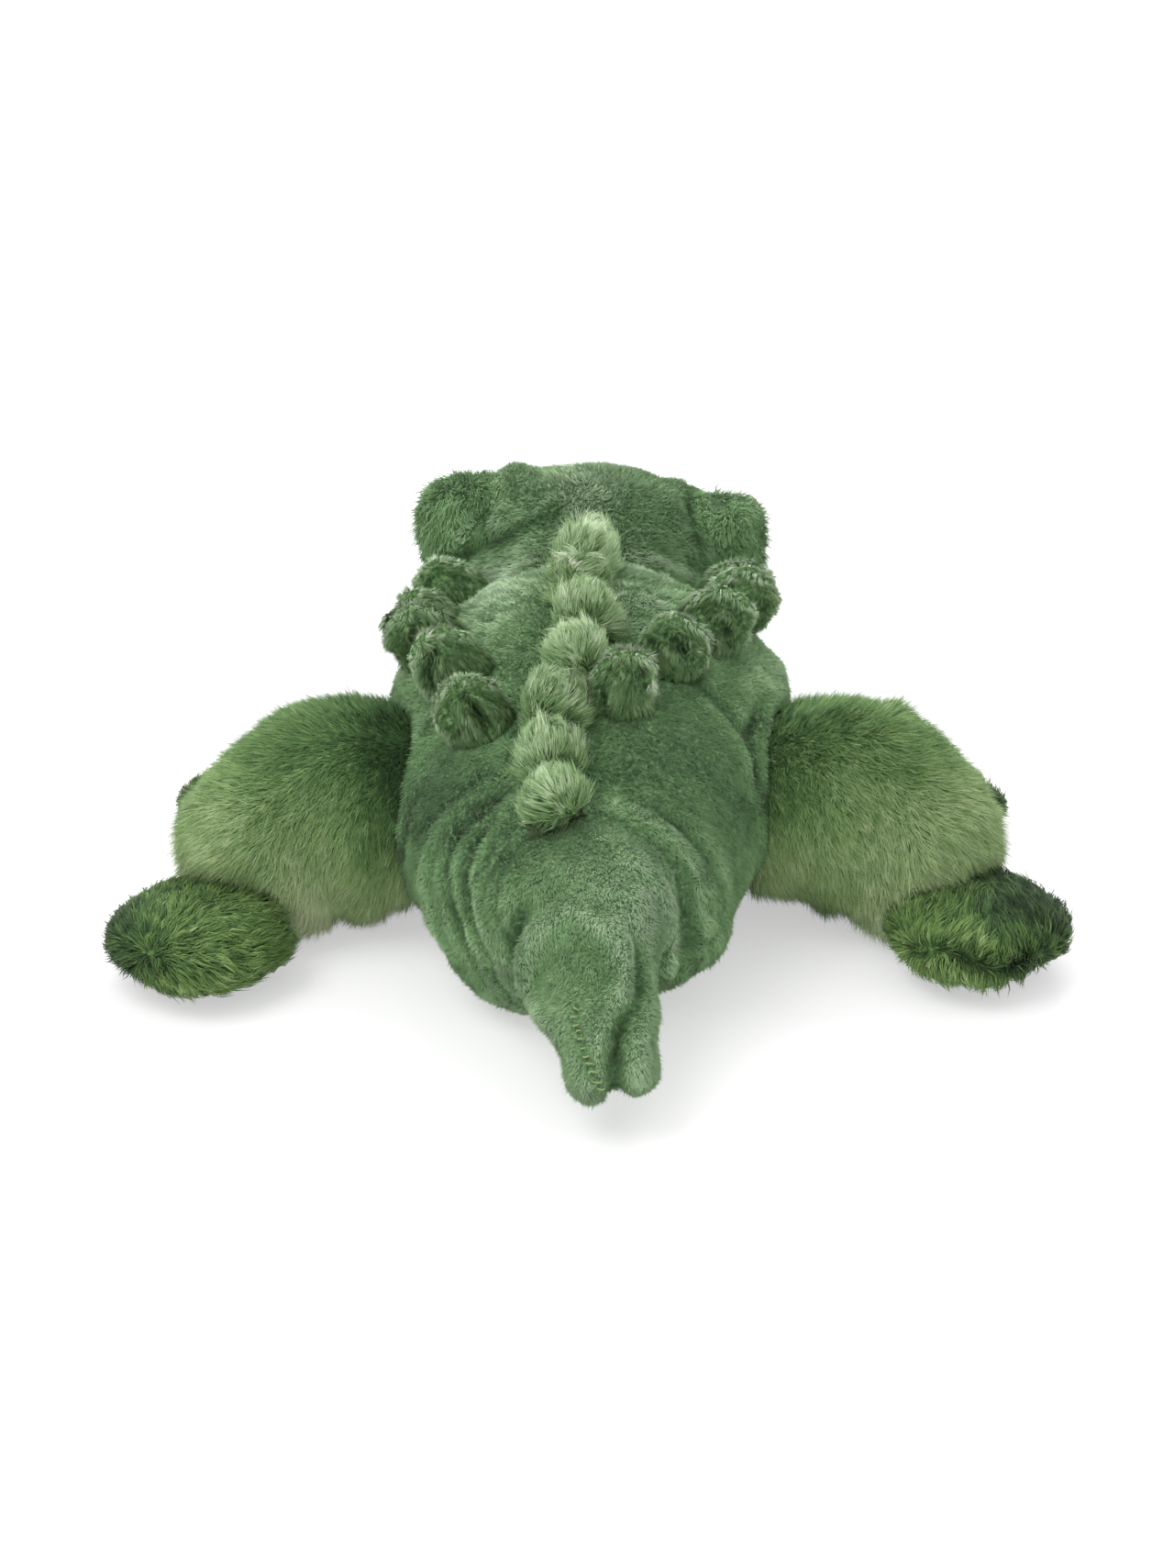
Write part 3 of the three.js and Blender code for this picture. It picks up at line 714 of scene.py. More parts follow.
def nearest(points, others, reach):
    """The distance from each point to the nearest of the other skins, up to a reach."""
    away = np.full(len(points), reach)
    for other in others:
        tree = other.tree()
        for index in np.flatnonzero(near(points, other.verts, reach)):
            found = tree.find_nearest(Vector(points[index]), away[index])
            if found[0] is not None:
                away[index] = found[3]
    return away


class Coat:
    """How the pile of one skin is made. comb(points) gives its lie; tone(points) how pale it is."""

    clump, pull = 14, 0.45  # strands whose tips draw together, and how far
    mess, stray = 0.30, 1.0  # scatter of the strands and wandering of the lie
    wave, bent = 0.0, False  # sway in millimetres, and whether strands have a bend
    long, uneven = None, 0.16  # long(points) gives a share of the length; its spread
    crowd = 6.0  # how near another piece shortens the pile
    grain, noise = 0.1, 0.1  # spread of tone between clumps and between strands
    even = 0.55  # how far the shading follows the skin instead of the strand
    seed = 1

    def __init__(self, slot, density, length, width, lean, comb, tone, **more):
        self.slot, self.density, self.length, self.width, self.lean = slot, density, length, width, lean
        self.comb, self.tone = comb, tone
        for name, value in more.items():
            setattr(self, name, value)


def scattered(skin, coat, others, rng):
    """Random places on the open faces of a skin: points, normals and relief."""
    weights = np.where(covered(skin, others, COVER_REACH), 0.0, skin.areas)
    density = coat.density * 1.0
    count = int(weights.sum() * density)
    face = np.searchsorted(np.cumsum(weights), rng.random(count) * weights.sum())
    face = np.minimum(face, len(weights) - 1)
    one, two = rng.random(count), rng.random(count)
    over = one + two > 1.0
    one, two = np.where(over, 1 - one, one), np.where(over, 1 - two, two)
    shares = np.stack([1 - one - two, one, two], 1)[:, :, None]
    corners = skin.faces[face]
    roots = (skin.verts[corners] * shares).sum(1)
    normals = unit((skin.normals[corners] * shares).sum(1))
    return roots, normals, (skin.relief[corners] * shares[:, :, 0]).sum(1)


def directions(coat, roots, normals, rng):
    """Which way the lower and the upper part of each strand go."""
    broad, fine = (share * swirl(roots, spacing, coat.seed + step) for share, spacing, step in STRAY_FIELDS)
    lie = coat.comb(roots) + coat.stray * (broad + fine)
    lie = unit(lie - normals * (lie * normals).sum(1, keepdims=True))
    scatter = rng.normal(size=(len(roots), 3)) * coat.mess
    lean = np.radians(coat.lean) * (1.0 + 0.18 * coat.stray * waves(roots, 9.0, coat.seed + 60))
    lean = np.clip(lean, *LEAN_LIMITS)[:, None]
    low_lean = lean * (0.55 if coat.bent else 1.0)
    high_lean = np.minimum(lean * 1.25, TIP_LEAN_LIMIT)
    return (unit(normals * np.cos(low_lean) + lie * np.sin(low_lean) + scatter * 0.7),
            unit(normals * np.cos(high_lean) + lie * np.sin(high_lean) + scatter))


def lengths(coat, roots, others, rng):
    count = len(roots)
    spread = coat.uneven * rng.normal(size=count) + 0.12 * waves(roots, 12.0, coat.seed + 70)
    length = coat.length * (1.0 + spread)
    length = length * np.where(rng.random(count) < OUTLIERS, OUTLIER_LENGTH, 1.0)
    if coat.long is not None:
        length = length * coat.long(roots)
    if others:
        room = smoothstep(nearest(roots, others, coat.crowd), 0.3, coat.crowd)
        length = length * (CROWDED_LENGTH + ROOMY_LENGTH * room)
    shortest, longest = LENGTH_LIMITS
    return np.clip(length, shortest * coat.length, longest * coat.length)[:, None]


def clumps(coat, roots, rng):
    """For each strand the strand that its clump gathers round."""
    centres = rng.choice(len(roots), max(1, len(roots) // coat.clump), replace=False)
    finder = KDTree(len(centres))
    for index, centre in enumerate(centres):
        finder.insert(roots[centre], index)
    finder.balance()
    return np.array([centres[finder.find(point)[1]] for point in roots.tolist()])


def grow(skin, coat, others):
    """Stands the pile of one skin on it."""
    rng = np.random.default_rng(coat.seed)
    roots, normals, relief = scattered(skin, coat, others, rng)
    first, second = directions(coat, roots, normals, rng)
    length = lengths(coat, roots, others, rng)
    feet = roots - normals * ROOT_DEPTH
    mids = feet + first * length * 0.5
    tips = mids + second * length * 0.5 if coat.bent else feet + first * length
    if coat.wave:
        sway = coat.wave * swirl(mids, 4.5, coat.seed + 80)
        mids = mids + sway * 0.5
        tips = tips - sway
    own = clumps(coat, roots, rng)
    apart = norms(roots - roots[own])[:, None]
    pull = coat.pull * bell(apart, 1.6 * coat.length)
    tips = tips + (tips[own] - tips) * pull
    mids = mids + (mids[own] - mids) * pull * 0.45
    for points in (feet, mids, tips):
        points[:, 2] = np.maximum(points[:, 2], GROUND)

    # Painted sheen on ridges, rims and swells and painted shade in grooves, furrows and dips, from the
    # relief.
    tone = coat.tone(roots) + np.clip(RELIEF_SHEEN_AND_SHADE * relief, *RELIEF_SHEEN_AND_SHADE_LIMITS)
    tone = tone + 0.04 * waves(roots, 30.0, coat.seed + 90) + 0.03 * waves(roots, 5.0, coat.seed + 91)
    tone = tone + coat.noise * rng.normal(size=len(roots)) + coat.grain * rng.normal(size=len(roots))[own]
    make_strands(skin, coat, (feet, mids, tips), normals, np.clip(tone, *TONE_LIMITS), rng)


def make_strands(skin, coat, path, normals, tone, rng):
    """Turns strands into thin three-sided spikes, in pieces that stay under the largest size of a mesh."""
    feet, mids, tips = path
    count = len(feet)
    way = unit(tips - feet)
    side = unit(np.cross(way, normals) + 1e-4)
    other = np.cross(way, side)
    width = coat.width * 1.0
    thick = width * (0.8 + 0.4 * rng.random(count))[:, None] / 2
    start = rng.random(count) * 2 * np.pi / 3
    rings = [(feet, 1.0, 0.0), (mids, BEND_THICKNESS, BEND_HEIGHT)] if coat.bent else [(feet, 1.0, 0.0)]
    points, facing, maps = [], [], []
    for centre, share, rise in rings:
        for corner in range(3):
            angle = (start + corner * 2 * np.pi / 3)[:, None]
            out = side * np.cos(angle) + other * np.sin(angle)
            points.append(centre + out * thick * share)
            facing.append(unit(normals * coat.even + out * (1 - coat.even)))
            height = np.full(count, CORNER_HEIGHTS[corner] + rise)
            maps.append(np.stack([tone + CORNER_TONES[corner], height], 1))
    points.append(tips)
    facing.append(unit(normals * coat.even + way * (1 - coat.even)))
    maps.append(np.stack([tone, np.full(count, TIP_HEIGHT)], 1))
    points, facing, maps = (np.stack(a, 1) for a in (points, facing, maps))
    size = points.shape[1]
    faces = [(size - 4 + k, size - 4 + (k + 1) % 3, size - 1) for k in range(3)]
    if coat.bent:
        for a, b in ((0, 1), (1, 2), (2, 0)):
            faces += [(a, b, b + 3), (a, b + 3, a + 3)]
    faces = np.array(faces)
    parts = max(1, math.ceil(count / MOST_STRANDS[len(faces)]))
    order = np.argsort(feet[:, 1] + 0.37 * feet[:, 0], kind="stable")
    for part, chosen in enumerate(np.array_split(order, parts)):
        name = f"{skin.name}_pile" + (f"_{part + 1}" if parts > 1 else "")
        corners = (np.arange(len(chosen))[:, None, None] * size + faces[None]).reshape(-1, 3)
        spots = maps[chosen].reshape(-1, 2)[corners.ravel()]
        mesh = filled_mesh(name, points[chosen].reshape(-1, 3), corners, spots)
        turned = mesh.attributes.new("custom_normal", "FLOAT_VECTOR", "POINT")
        turned.data.foreach_set("vector", facing[chosen].reshape(-1, 3).astype(np.float32).ravel())
        mesh.update()
        new_object(name, mesh, skin.body, material_for(coat.slot, pile_material))


# The pieces

TRUNK = [
    ("torso_skin", "torso", ["torso_cover", "torso_filling"]),
    ("tail_skin", "tail", ["tail_cover", "tail_filling"]),
    ("belly_skin", "torso", ["belly_panel"]),
]
SKULL = [("head_skin", "head", ["head_cover", "head_filling"])]
SKULL += [(f"{side}_brow_skin", "head", [f"{side}_brow"]) for side, _ in SIDES]
LIMB_ROOTS = [name for name in ROOTS if name != "tail"]
TUFTS, SPIKES = 8, 5
# Where parted surfaces close, inside the body.
TAIL_APEX = (-3.0, -66.0, 30.0)
BROW_APEXES = [(-30.0, 114.0, 58.0), (30.0, 114.0, 54.0)]

# The brow mounds: middles, radii and how deep their pile is let in, and the balls that fill them in.
BROWS = [np.array([sign * 38.0, 116.0, 61.0 - sign * 2.32]) for _, sign in SIDES]
BROW_RADII, BROW_DEPTH = (15.0, 17.0, 21.0), 0.9
BROW_FILLERS = [(middle, (13.4, 15.4, 19.4)) for middle in BROWS]
BROW_FILLERS += [((-24.0, 116.0, 68.5), (14.0, 15.0, 14.0)), ((28.0, 116.0, 64.0), (13.0, 15.0, 14.0))]


def nodes_of(pieces):
    return [node for _, _, nodes in pieces for node in nodes]


def make_trunk():
    trunk = make_skin("trunk", "torso", nodes_of(TRUNK), voxel=1.6, depth=1.5, roots=LIMB_ROOTS)
    trunk.relax(22, shares=(0.5,), free=bell(from_root(trunk.verts, "tail"), 10.0))
    return trunk


def off_brows(points):
    """How far each point is from the nearest brow mound's middle, in the mound's radii."""
    return np.min([norms((points - middle) / BROW_RADII) for middle in BROWS], 0)


def make_skull():
    skull = make_skin("skull", "head", nodes_of(SKULL), voxel=1.6, depth=1.7, roots=["head"],
                      fillers=BROW_FILLERS)
    crease = bell((off_brows(skull.verts) - 1.0) * BROW_RADII[1], 7.0)
    skull.relax(10, shares=(0.5,), free=crease)
    on_brow = 1.0 - smoothstep(off_brows(skull.verts), 1.0, 1.25)
    skull.verts = skull.verts - skull.normals * (BROW_DEPTH * on_brow)[:, None]
    skull.renew()
    return skull


def make_limb(side, part, depth, voxel):
    """A leg's skin and its foot's, which is laid on the leg."""
    body = f"{side}_{part}_leg"
    leg = make_skin(f"{body}_skin", body, [f"{body}_cover", f"{body}_filling"], voxel, depth, roots=[body],
                    low=0.45)
    if part == "hind":
        swell(leg, LIMB_SWELLS)
    name = f"{side}_{part}_foot"
    foot = make_skin(f"{name}_skin", body, [name], voxel=1.2, depth=2.0, rounds=8, low=0.5)
    swell(foot, FOOT_SWELLS)
    seat_on(foot, leg, reach=depth + 2.0)
    return leg, foot


def make_tuft(index):
    name = f"ridge_tuft_{index + 1}"
    tuft = make_skin(f"{name}_skin", "torso", [name], voxel=0.9, depth=1.2, rounds=6)
    square_up(tuft, share=0.6, narrow=0.76 if index == TUFTS - 1 else 0.84)
    seat_on(tuft, torso, reach=4.6)
    return tuft


def make_spike(side, index):
    name = f"{side}_spike_{index + 1}"
    spike = make_skin(f"{name}_skin", "torso", [name], voxel=0.8, depth=0.5, rounds=5)
    swell(spike, SPIKE_SWELLS)
    seat_on(spike, torso, reach=3.4)
    rim_spike(spike)
    return spike


def tree_of(skins):
    """One search tree of several skins."""
    starts = np.cumsum([0] + [len(skin.verts) for skin in skins])
    verts = np.concatenate([skin.verts for skin in skins])
    faces = np.concatenate([skin.faces + start for skin, start in zip(skins, starts)])
    return BVHTree.FromPolygons(verts.tolist(), faces.tolist())


make_camera()
trunk = make_trunk()
skull = make_skull()
legs, feet = {}, {}
for side, _ in SIDES:
    for part, depth, voxel in (("hind", 3.0, 1.5), ("front", 2.2, 1.2)):
        legs[side, part], feet[side, part] = make_limb(side, part, depth, voxel)
whole = tree_of([trunk, skull, *legs.values(), *feet.values()])
for skin in (trunk, skull):
    swell(skin, SWELLS)
fold([trunk, skull], whole)
sculpt(trunk, LIMB_ROOTS)
sculpt(skull, ["head"], seed=21)
torso, tail, belly = parted(trunk, TRUNK, [TAIL_APEX, TAIL_APEX], handicaps=(0.0, 0.0, 3.0))
head, *brows = parted(skull, SKULL, BROW_APEXES)
for index, leg in enumerate(legs.values()):
    sculpt(leg, [leg.body], soft=0.4, fine=0.12, seed=41 + index)
tufts = [make_tuft(index) for index in range(TUFTS)]
spikes = [make_spike(side, index) for side, _ in SIDES for index in range(SPIKES)]
jaw = make_skin("lower_jaw_skin", "head", ["lower_jaw"], voxel=1.2, depth=1.4, rounds=8)
seat_on(jaw, head, reach=3.8)
tail_seam = cast_line(TAIL_SEAM, tail.tree())


# Painted sheen and painted shade: places in the photograph's pixels, with a radius in pixels and how much
# paler the pile is there; a minus amount is painted shade, such as in the joins of the legs and the body,
# and a plus amount is painted sheen.

BODY_SHEEN_AND_SHADE_SPOTS = [
    (640, 508, 70, 0.34), (640, 600, 70, 0.08), (490, 560, 45, -0.04), (805, 570, 45, -0.02),
    (545, 650, 60, 0.22), (528, 632, 24, 0.12), (580, 690, 28, -0.12), (515, 700, 50, 0.08),
    (710, 635, 60, 0.20), (690, 690, 45, 0.10), (865, 745, 45, 0.10), (560, 760, 60, -0.06),
    (760, 850, 100, -0.16), (508, 892, 56, -0.50), (450, 860, 40, -0.08), (450, 950, 45, -0.10),
    (655, 965, 70, 0.38), (700, 1000, 40, 0.18), (625, 1040, 26, -0.12), (560, 640, 34, 0.10),
    (735, 1035, 14, 0.14), (590, 1010, 35, 0.06), (660, 1130, 70, 0.24), (560, 950, 35, -0.08),
    (640, 900, 40, 0.04), (715, 590, 40, -0.06), (770, 620, 30, -0.08), (840, 820, 30, -0.05),
]
LIMB_SHEEN_AND_SHADE_SPOTS = [
    (455, 850, 50, -0.34), (445, 775, 60, -0.30), (350, 800, 80, -0.10), (320, 930, 80, 0.14),
    (360, 980, 45, 0.08), (240, 870, 40, 0.14), (225, 930, 30, -0.06), (415, 930, 40, -0.08),
    (845, 860, 40, -0.14), (870, 795, 60, -0.10), (860, 935, 50, 0.10), (990, 900, 80, 0.14),
    (1050, 870, 45, 0.16), (1000, 980, 60, 0.06),
]
FOOT_SHADE_AND_SHEEN_SPOTS = [
    (130, 1030, 36, -0.34), (150, 990, 30, -0.14), (225, 965, 40, -0.16), (330, 1030, 40, -0.16),
    (1110, 985, 62, -0.40), (1150, 1000, 30, -0.16), (1060, 1070, 60, 0.06), (1000, 1045, 40, -0.02),
]


# Combs, tones and lengths, each a function of the points

def even(value):
    return lambda points: np.full(len(points), value)


def patched(base, patches):
    return lambda points: spotted(points, patches, base(points))


def combed(*way):
    return lambda points: np.array(way) + 0 * points


def away_from(place):
    return lambda points: unit(points - place)


def away_from_line(line):
    return lambda points: unit(distance_to_line(points, line)[2])


def flank(points):
    return np.stack([0.012 * points[:, 0], np.full(len(points), -0.7), -0.012 * np.abs(points[:, 0])], 1)


def leg_base(points):
    return 0.42 + 0.26 * (1.0 - smoothstep(points[:, 2], 12.0, 52.0))


def leg_length(points):
    return 1.0 + 0.6 * (1.0 - smoothstep(points[:, 2], 8.0, 26.0))


def by_neck(points):
    return 1.0 + 0.8 * bell(from_root(points, "head"), 9.0)


def by_seam(points):
    return 1.0 - 0.6 * bell(distance_to_line(points, tail_seam)[0], 2.2)


TOWARD_TAIL = combed(0.0, -0.9, -0.35)
# An even tone with painted sheen and painted shade in spots.
BODY_TONE = patched(even(0.52), BODY_SHEEN_AND_SHADE_SPOTS)
# What more a coat says, as the class Coat has it.
SHEARED = {
    "mess": 0.24, "clump": 7, "pull": 0.12, "grain": 0.035, "noise": 0.045, "stray": 0.6, "even": 0.8,
    "uneven": 0.12, "crowd": 1.5,
}
SHAGGY = {
    "mess": 0.27, "clump": 7, "pull": 0.2, "grain": 0.08, "noise": 0.09, "stray": 0.35, "even": 0.65,
    "uneven": 0.22, "crowd": 1.5, "long": leg_length,
}
COMBED = {
    "mess": 0.10, "clump": 9, "pull": 0.36, "grain": 0.09, "noise": 0.08, "stray": 0.5, "crowd": 1.5,
    "wave": 0.5, "bent": True,
}
LOOSE = {"mess": 0.34, "pull": 0.25, "clump": 8}
FLUFFY = {"mess": 0.40, "clump": 12, "pull": 0.3, "grain": 0.08, "noise": 0.08, "bent": True}
TUFTED = {
    "mess": 0.22, "clump": 16, "pull": 0.5, "grain": 0.13, "stray": 0.8, "uneven": 0.2, "crowd": 0.6,
    "wave": 0.2, "bent": True,
}
SPIKED = {
    "mess": 0.12, "clump": 12, "pull": 0.45, "grain": 0.10, "noise": 0.05, "stray": 0.5, "crowd": 0.5,
    "wave": 0.1,
}


# The coats' slot, strands on a square millimetre, length, width, lean in degrees, and what more they say.
COATS = {
    "torso": ("body_plush", 5.6, 2.0, 0.37, 40, SHEARED),
    "head": ("body_plush", 5.2, 2.2, 0.38, 40, SHEARED),
    "tail": ("body_plush", 6.6, 2.0, 0.35, 42, SHEARED),
    "belly": ("belly_plush", 2.6, 2.4, 0.46, 40, {}),
    "jaw": ("belly_plush", 3.0, 2.2, 0.42, 45, {}),
    "hind_leg": ("limb_plush", 6.8, 4.7, 0.32, 48, SHAGGY),
    "front_leg": ("limb_plush", 3.4, 4.0, 0.42, 50, LOOSE),
    "hind_foot": ("foot_plush", 5.4, 5.2, 0.38, 76, COMBED),
    "front_foot": ("foot_plush", 3.8, 4.2, 0.38, 76, COMBED),
    "tuft": ("tuft_plush", 9.5, 5.8, 0.29, 58, TUFTED),
    "spike": ("spike_plush", 10.5, 3.2, 0.31, 70, SPIKED),
    "brow": ("body_plush", 6.0, 5.4, 0.36, 56, FLUFFY),
}


def coated(skin, kind, comb, tone, seed, **more):
    """A skin and its coat."""
    *row, own = COATS[kind]
    return skin, Coat(*row, comb, tone, seed=seed, **own, **more)


def foot_comb(foot, side, part):
    """The pile goes out from a whorl, or from the seam where the photograph shows one."""
    if (side, part) == ("right", "hind"):
        seam = cast_line(FOOT_SEAM, foot.tree())
        press(foot, seam, depth=1.5, width=1.6)
        raise_relief(foot)
        return away_from_line(seam)
    if (side, part) == ("left", "hind"):
        return away_from(cast_line([FOOT_WHORL], foot.tree())[0])
    return away_from(foot.verts.mean(0) + np.array([12.0 * dict(SIDES)[side], -8.0, 6.0]))


def limb_coats(index):
    """The coats of the two legs and the two feet of one side."""
    side, sign = SIDES[index]
    comb = combed(0.55 * sign, -0.25, -0.75)
    # Painted shade where the leg meets the body, and painted sheen, in spots.
    tone = patched(leg_base, LIMB_SHEEN_AND_SHADE_SPOTS)
    made = [
        coated(legs[side, "hind"], "hind_leg", comb, tone, 400 + index),
        coated(legs[side, "front"], "front_leg", comb, leg_base, 420 + index),
    ]
    # The hind feet get painted shade, and a little painted sheen, in spots.
    tones = {"hind": patched(even(0.42), FOOT_SHADE_AND_SHEEN_SPOTS), "front": even(0.18)}
    for part, tone in tones.items():
        foot = feet[side, part]
        made.append(coated(foot, f"{part}_foot", foot_comb(foot, side, part), tone, 440 + index))
    return made


def tuft_coat(index):
    """Strands that go out from a place low in the tuft, the focus, and are palest far from it: painted
    shade low by the focus and painted highlights on the tuft's far edges.
    """
    tuft = tufts[index]
    middle, size = tuft.verts.mean(0), np.ptp(tuft.verts, axis=0)
    last = index == TUFTS - 1
    focus = middle + size * ((0.28, -0.36, -0.72) if last else (0.16 * (-1) ** index, -0.34, -0.62))
    base = 0.18 if last else 0.35 - 0.012 * index

    def tone(points):
        return base + 0.34 * smoothstep(norms((points - focus) / size), 0.3, 1.15)

    return coated(tuft, "tuft", away_from(focus), tone, 500 + index)


def spike_coat(index):
    """Strands that hang down from a spike's tip, and stand short and pale along its rim."""
    spike = spikes[index]
    middle = spike.verts.mean(0)
    tip = middle + 5.0 * spike.outward + np.array([0.0, 3.0, 0.0])

    def rimmed(points):
        off = np.abs((points - middle) @ spike.flat)
        return smoothstep((points - middle) @ spike.outward, -3.0, 3.0) * bell(off, RIM_WIDTH)

    def comb(points):
        return (unit(points - tip) + np.array([0.0, -0.3, -0.6])) * (1.0 - rimmed(points))[:, None]

    def tone(points):
        return 0.45 + 0.10 * rimmed(points)

    def long(points):
        return 1.0 - 0.45 * rimmed(points)

    return coated(spike, "spike", comb, tone, 600 + index, long=long)


def neighbours_of(skin, coats, reach=6.0):
    low, high = skin.verts.min(0) - reach, skin.verts.max(0) + reach
    return [other for other, _ in coats
            if other is not skin and (other.verts.max(0) > low).all() and (other.verts.min(0) < high).all()]


coats = [
    coated(torso, "torso", flank, BODY_TONE, 100, long=by_neck),
    coated(head, "head", TOWARD_TAIL, BODY_TONE, 200, long=by_neck),
    coated(tail, "tail", TOWARD_TAIL, BODY_TONE, 300, long=by_seam),
    coated(belly, "belly", flank, even(0.5), 350),
    coated(jaw, "jaw", TOWARD_TAIL, even(0.5), 800),
]
coats += limb_coats(0) + limb_coats(1)
coats += [tuft_coat(index) for index in range(len(tufts))]
coats += [spike_coat(index) for index in range(len(spikes))]
coats += [coated(brow, "brow", TOWARD_TAIL, BODY_TONE, 700 + index) for index, brow in enumerate(brows)]
for skin, coat in coats:
    show_skin(skin, coat.slot)
    grow(skin, coat, neighbours_of(skin, coats))


# Small made things: threads, eyes, nostrils and washers

# The tail's stitches: distance, half width and slant, height of the bow and its drop, the thread's radius.
STITCH_STEP, STITCH_HALF, STITCH_SLANT = 2.3, 1.3, 0.5
STITCH_BOW, STITCH_DROP, STITCH_RADIUS = 1.2, 2.0, 0.24
SATIN_THREADS, SATIN_RADIUS, SATIN_INSET = 17, 0.3, 0.25
EYE_STEPS, STEM_RIBS = 40, 8


def circle(steps, one, two):
    """Spokes of length 1 in the plane of two directions."""
    angles = np.arange(steps) * 2 * np.pi / steps
    return np.cos(angles)[:, None] * one + np.sin(angles)[:, None] * two


def tube(path, radius, steps, closed=False):
    """The points and triangles of a thread along a path, pointed at its two ends unless it is a ring."""
    count = len(path)
    ahead = unit(np.roll(path, -1, 0) - np.roll(path, 1, 0))
    if not closed:
        ahead[0], ahead[-1] = unit(path[1] - path[0]), unit(path[-1] - path[-2])
    side = unit(np.cross(ahead, unit(path.mean(0) - path + ahead[:1] * 1e-3)) + 1e-6)
    over = np.cross(ahead, side)
    thick = np.full(count, radius)
    if not closed:
        thick[[0, -1]] = 0.15 * radius
    rings = path[:, None] + thick[:, None, None] * circle(steps, side[:, None], over[:, None])
    faces = []
    for ring in range(count if closed else count - 1):
        low, high = ring * steps, (ring + 1) % count * steps
        for step in range(steps):
            after = (step + 1) % steps
            faces += [(low + step, low + after, high + after), (low + step, high + after, high + step)]
    if not closed:
        last = (count - 1) * steps
        for step in range(1, steps - 1):
            faces += [(0, step + 1, step), (last, last + step, last + step + 1)]
    return rings.reshape(-1, 3), np.array(faces)


def joined(parts):
    counts = np.cumsum([0] + [len(points) for points, _ in parts])
    return (np.vstack([points for points, _ in parts]),
            np.vstack([faces + counts[index] for index, (_, faces) in enumerate(parts)]))


def show_threads(name, parts, body, material):
    return new_object(name, filled_mesh(name, *joined(parts)), body, material)


def thread_material(name, code):
    """Twisted cotton: fine slanted ribs with a soft shine."""
    base = linear(code)
    dark, light = (tuple(min(1.0, share * c) for c in base[:3]) + (1.0,) for share in (0.55, 1.25))
    return textured(name, {"Roughness": 0.55, "Sheen Weight": 0.3}, "TexWave",
                    {"Scale": 900.0, "Distortion": 2.0}, [(0.15, dark), (0.5, base), (0.9, light)],
                    bump=(0.5, 0.1), wave_type="BANDS", bands_direction="DIAGONAL")


def make_stitches():
    """Slanted stitches that draw the tail's seam together."""
    tree = tail.tree()
    reached = travelled(tail_seam)
    bow = np.linspace(-1.0, 1.0, 7)[:, None]
    parts = []
    for at in np.arange(1.0, reached[-1], STITCH_STEP):
        middle, after = (
            np.array([np.interp(spot, reached, row) for row in tail_seam.T]) for spot in (at, at + 1.0)
        )
        place, normal = (np.array(v) for v in tree.find_nearest(Vector(middle))[:2])
        ahead = unit(after - middle)
        across = unit(np.cross(normal, ahead)) * STITCH_HALF + ahead * STITCH_SLANT
        path = place + across * bow + normal * (STITCH_BOW - STITCH_DROP * bow ** 2)
        parts.append(tube(path, STITCH_RADIUS, 6))
    material = thread_material("seam_thread", "#8a9c63")
    show_threads("tail_seam_stitches", parts, "tail", material)


def make_nostril(side, material):
    """Satin stitches: threads laid side by side round a small pad."""
    verts, _ = triangles_of(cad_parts[f"{side}_nostril"].data)
    middle = (verts.min(0) + verts.max(0)) / 2
    _, _, axes = np.linalg.svd(verts - verts.mean(0), full_matrices=False)
    half = np.abs((verts - middle) @ axes.T).max(0)
    parts = []
    for share in np.linspace(-0.97, 0.97, SATIN_THREADS):
        size = math.sqrt(1.0 - share ** 2)
        long, wide = (axes[k] * (half[k] * size - SATIN_INSET) for k in (0, 2))
        loop = circle(24, long, wide)
        parts.append(tube(middle + loop + axes[1] * half[1] * share, SATIN_RADIUS, 6, closed=True))
    obj = show_threads(f"{side}_nostril_stitches", parts, "head", material)
    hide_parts(f"{side}_nostril")


def eye_material():
    """A clear-coated moulding: black pupil and rim, with a dark amber ring between them."""
    material, tree, shader = new_material("eye_gloss", {
        "Roughness": 0.12, "Specular IOR Level": 0.6, "Coat Weight": 1.0, "Coat Roughness": 0.03,
    })
    whole, outward, _ = own_map(tree)
    stretched = add_node(tree, "Mapping", {"Vector": whole, "Scale": (3.0, 60.0, 1.0)}).outputs["Vector"]
    streaks = add_node(tree, "TexNoise", {"Vector": stretched, "Scale": 1.0, "Detail": 3.0}).outputs["Fac"]
    amber = ramp(tree, streaks, coded((0.3, 0.6, 0.8), ("#3a210c", "#7a4a17", "#a3691f")))
    ring = ramp(tree, outward, [(0.60, grey(0.0)), (0.66, grey(1.0)), (0.76, grey(1.0)), (0.80, grey(0.0))])
    mixed = add_node(tree, "Mix", {"Factor": ring, "A": linear("#0d0a07"), "B": amber}, data_type="RGBA")
    feed(tree, shader, {"Base Color": mixed.outputs["Result"]})
    return material


def eye_profile(along, off):
    """The outline of a safety eye, from its stem to its dome: places on the axis, and radii."""
    reach, radius = along.max(), off.max()
    back = along[off > 0.97 * radius].min()
    stem = off[along < 0.5].max()
    rib = (back - 1.0) / STEM_RIBS
    front = back + 0.5
    profile = [(0.0, 0.0), (0.0, 0.8 * stem)]
    for index in range(STEM_RIBS):
        profile += [(0.3 + rib * index, stem), (0.3 + rib * (index + 0.5), 0.82 * stem)]
    profile += [(back, stem), (back, 0.94 * radius), (back + 0.25, radius), (front, radius)]
    for angle in np.linspace(0.08, 1.0, 14)[:-1] * math.pi / 2:
        profile.append((front + (reach - front) * math.sin(angle), radius * math.cos(angle)))
    return np.array(profile + [(reach, 0.0)])


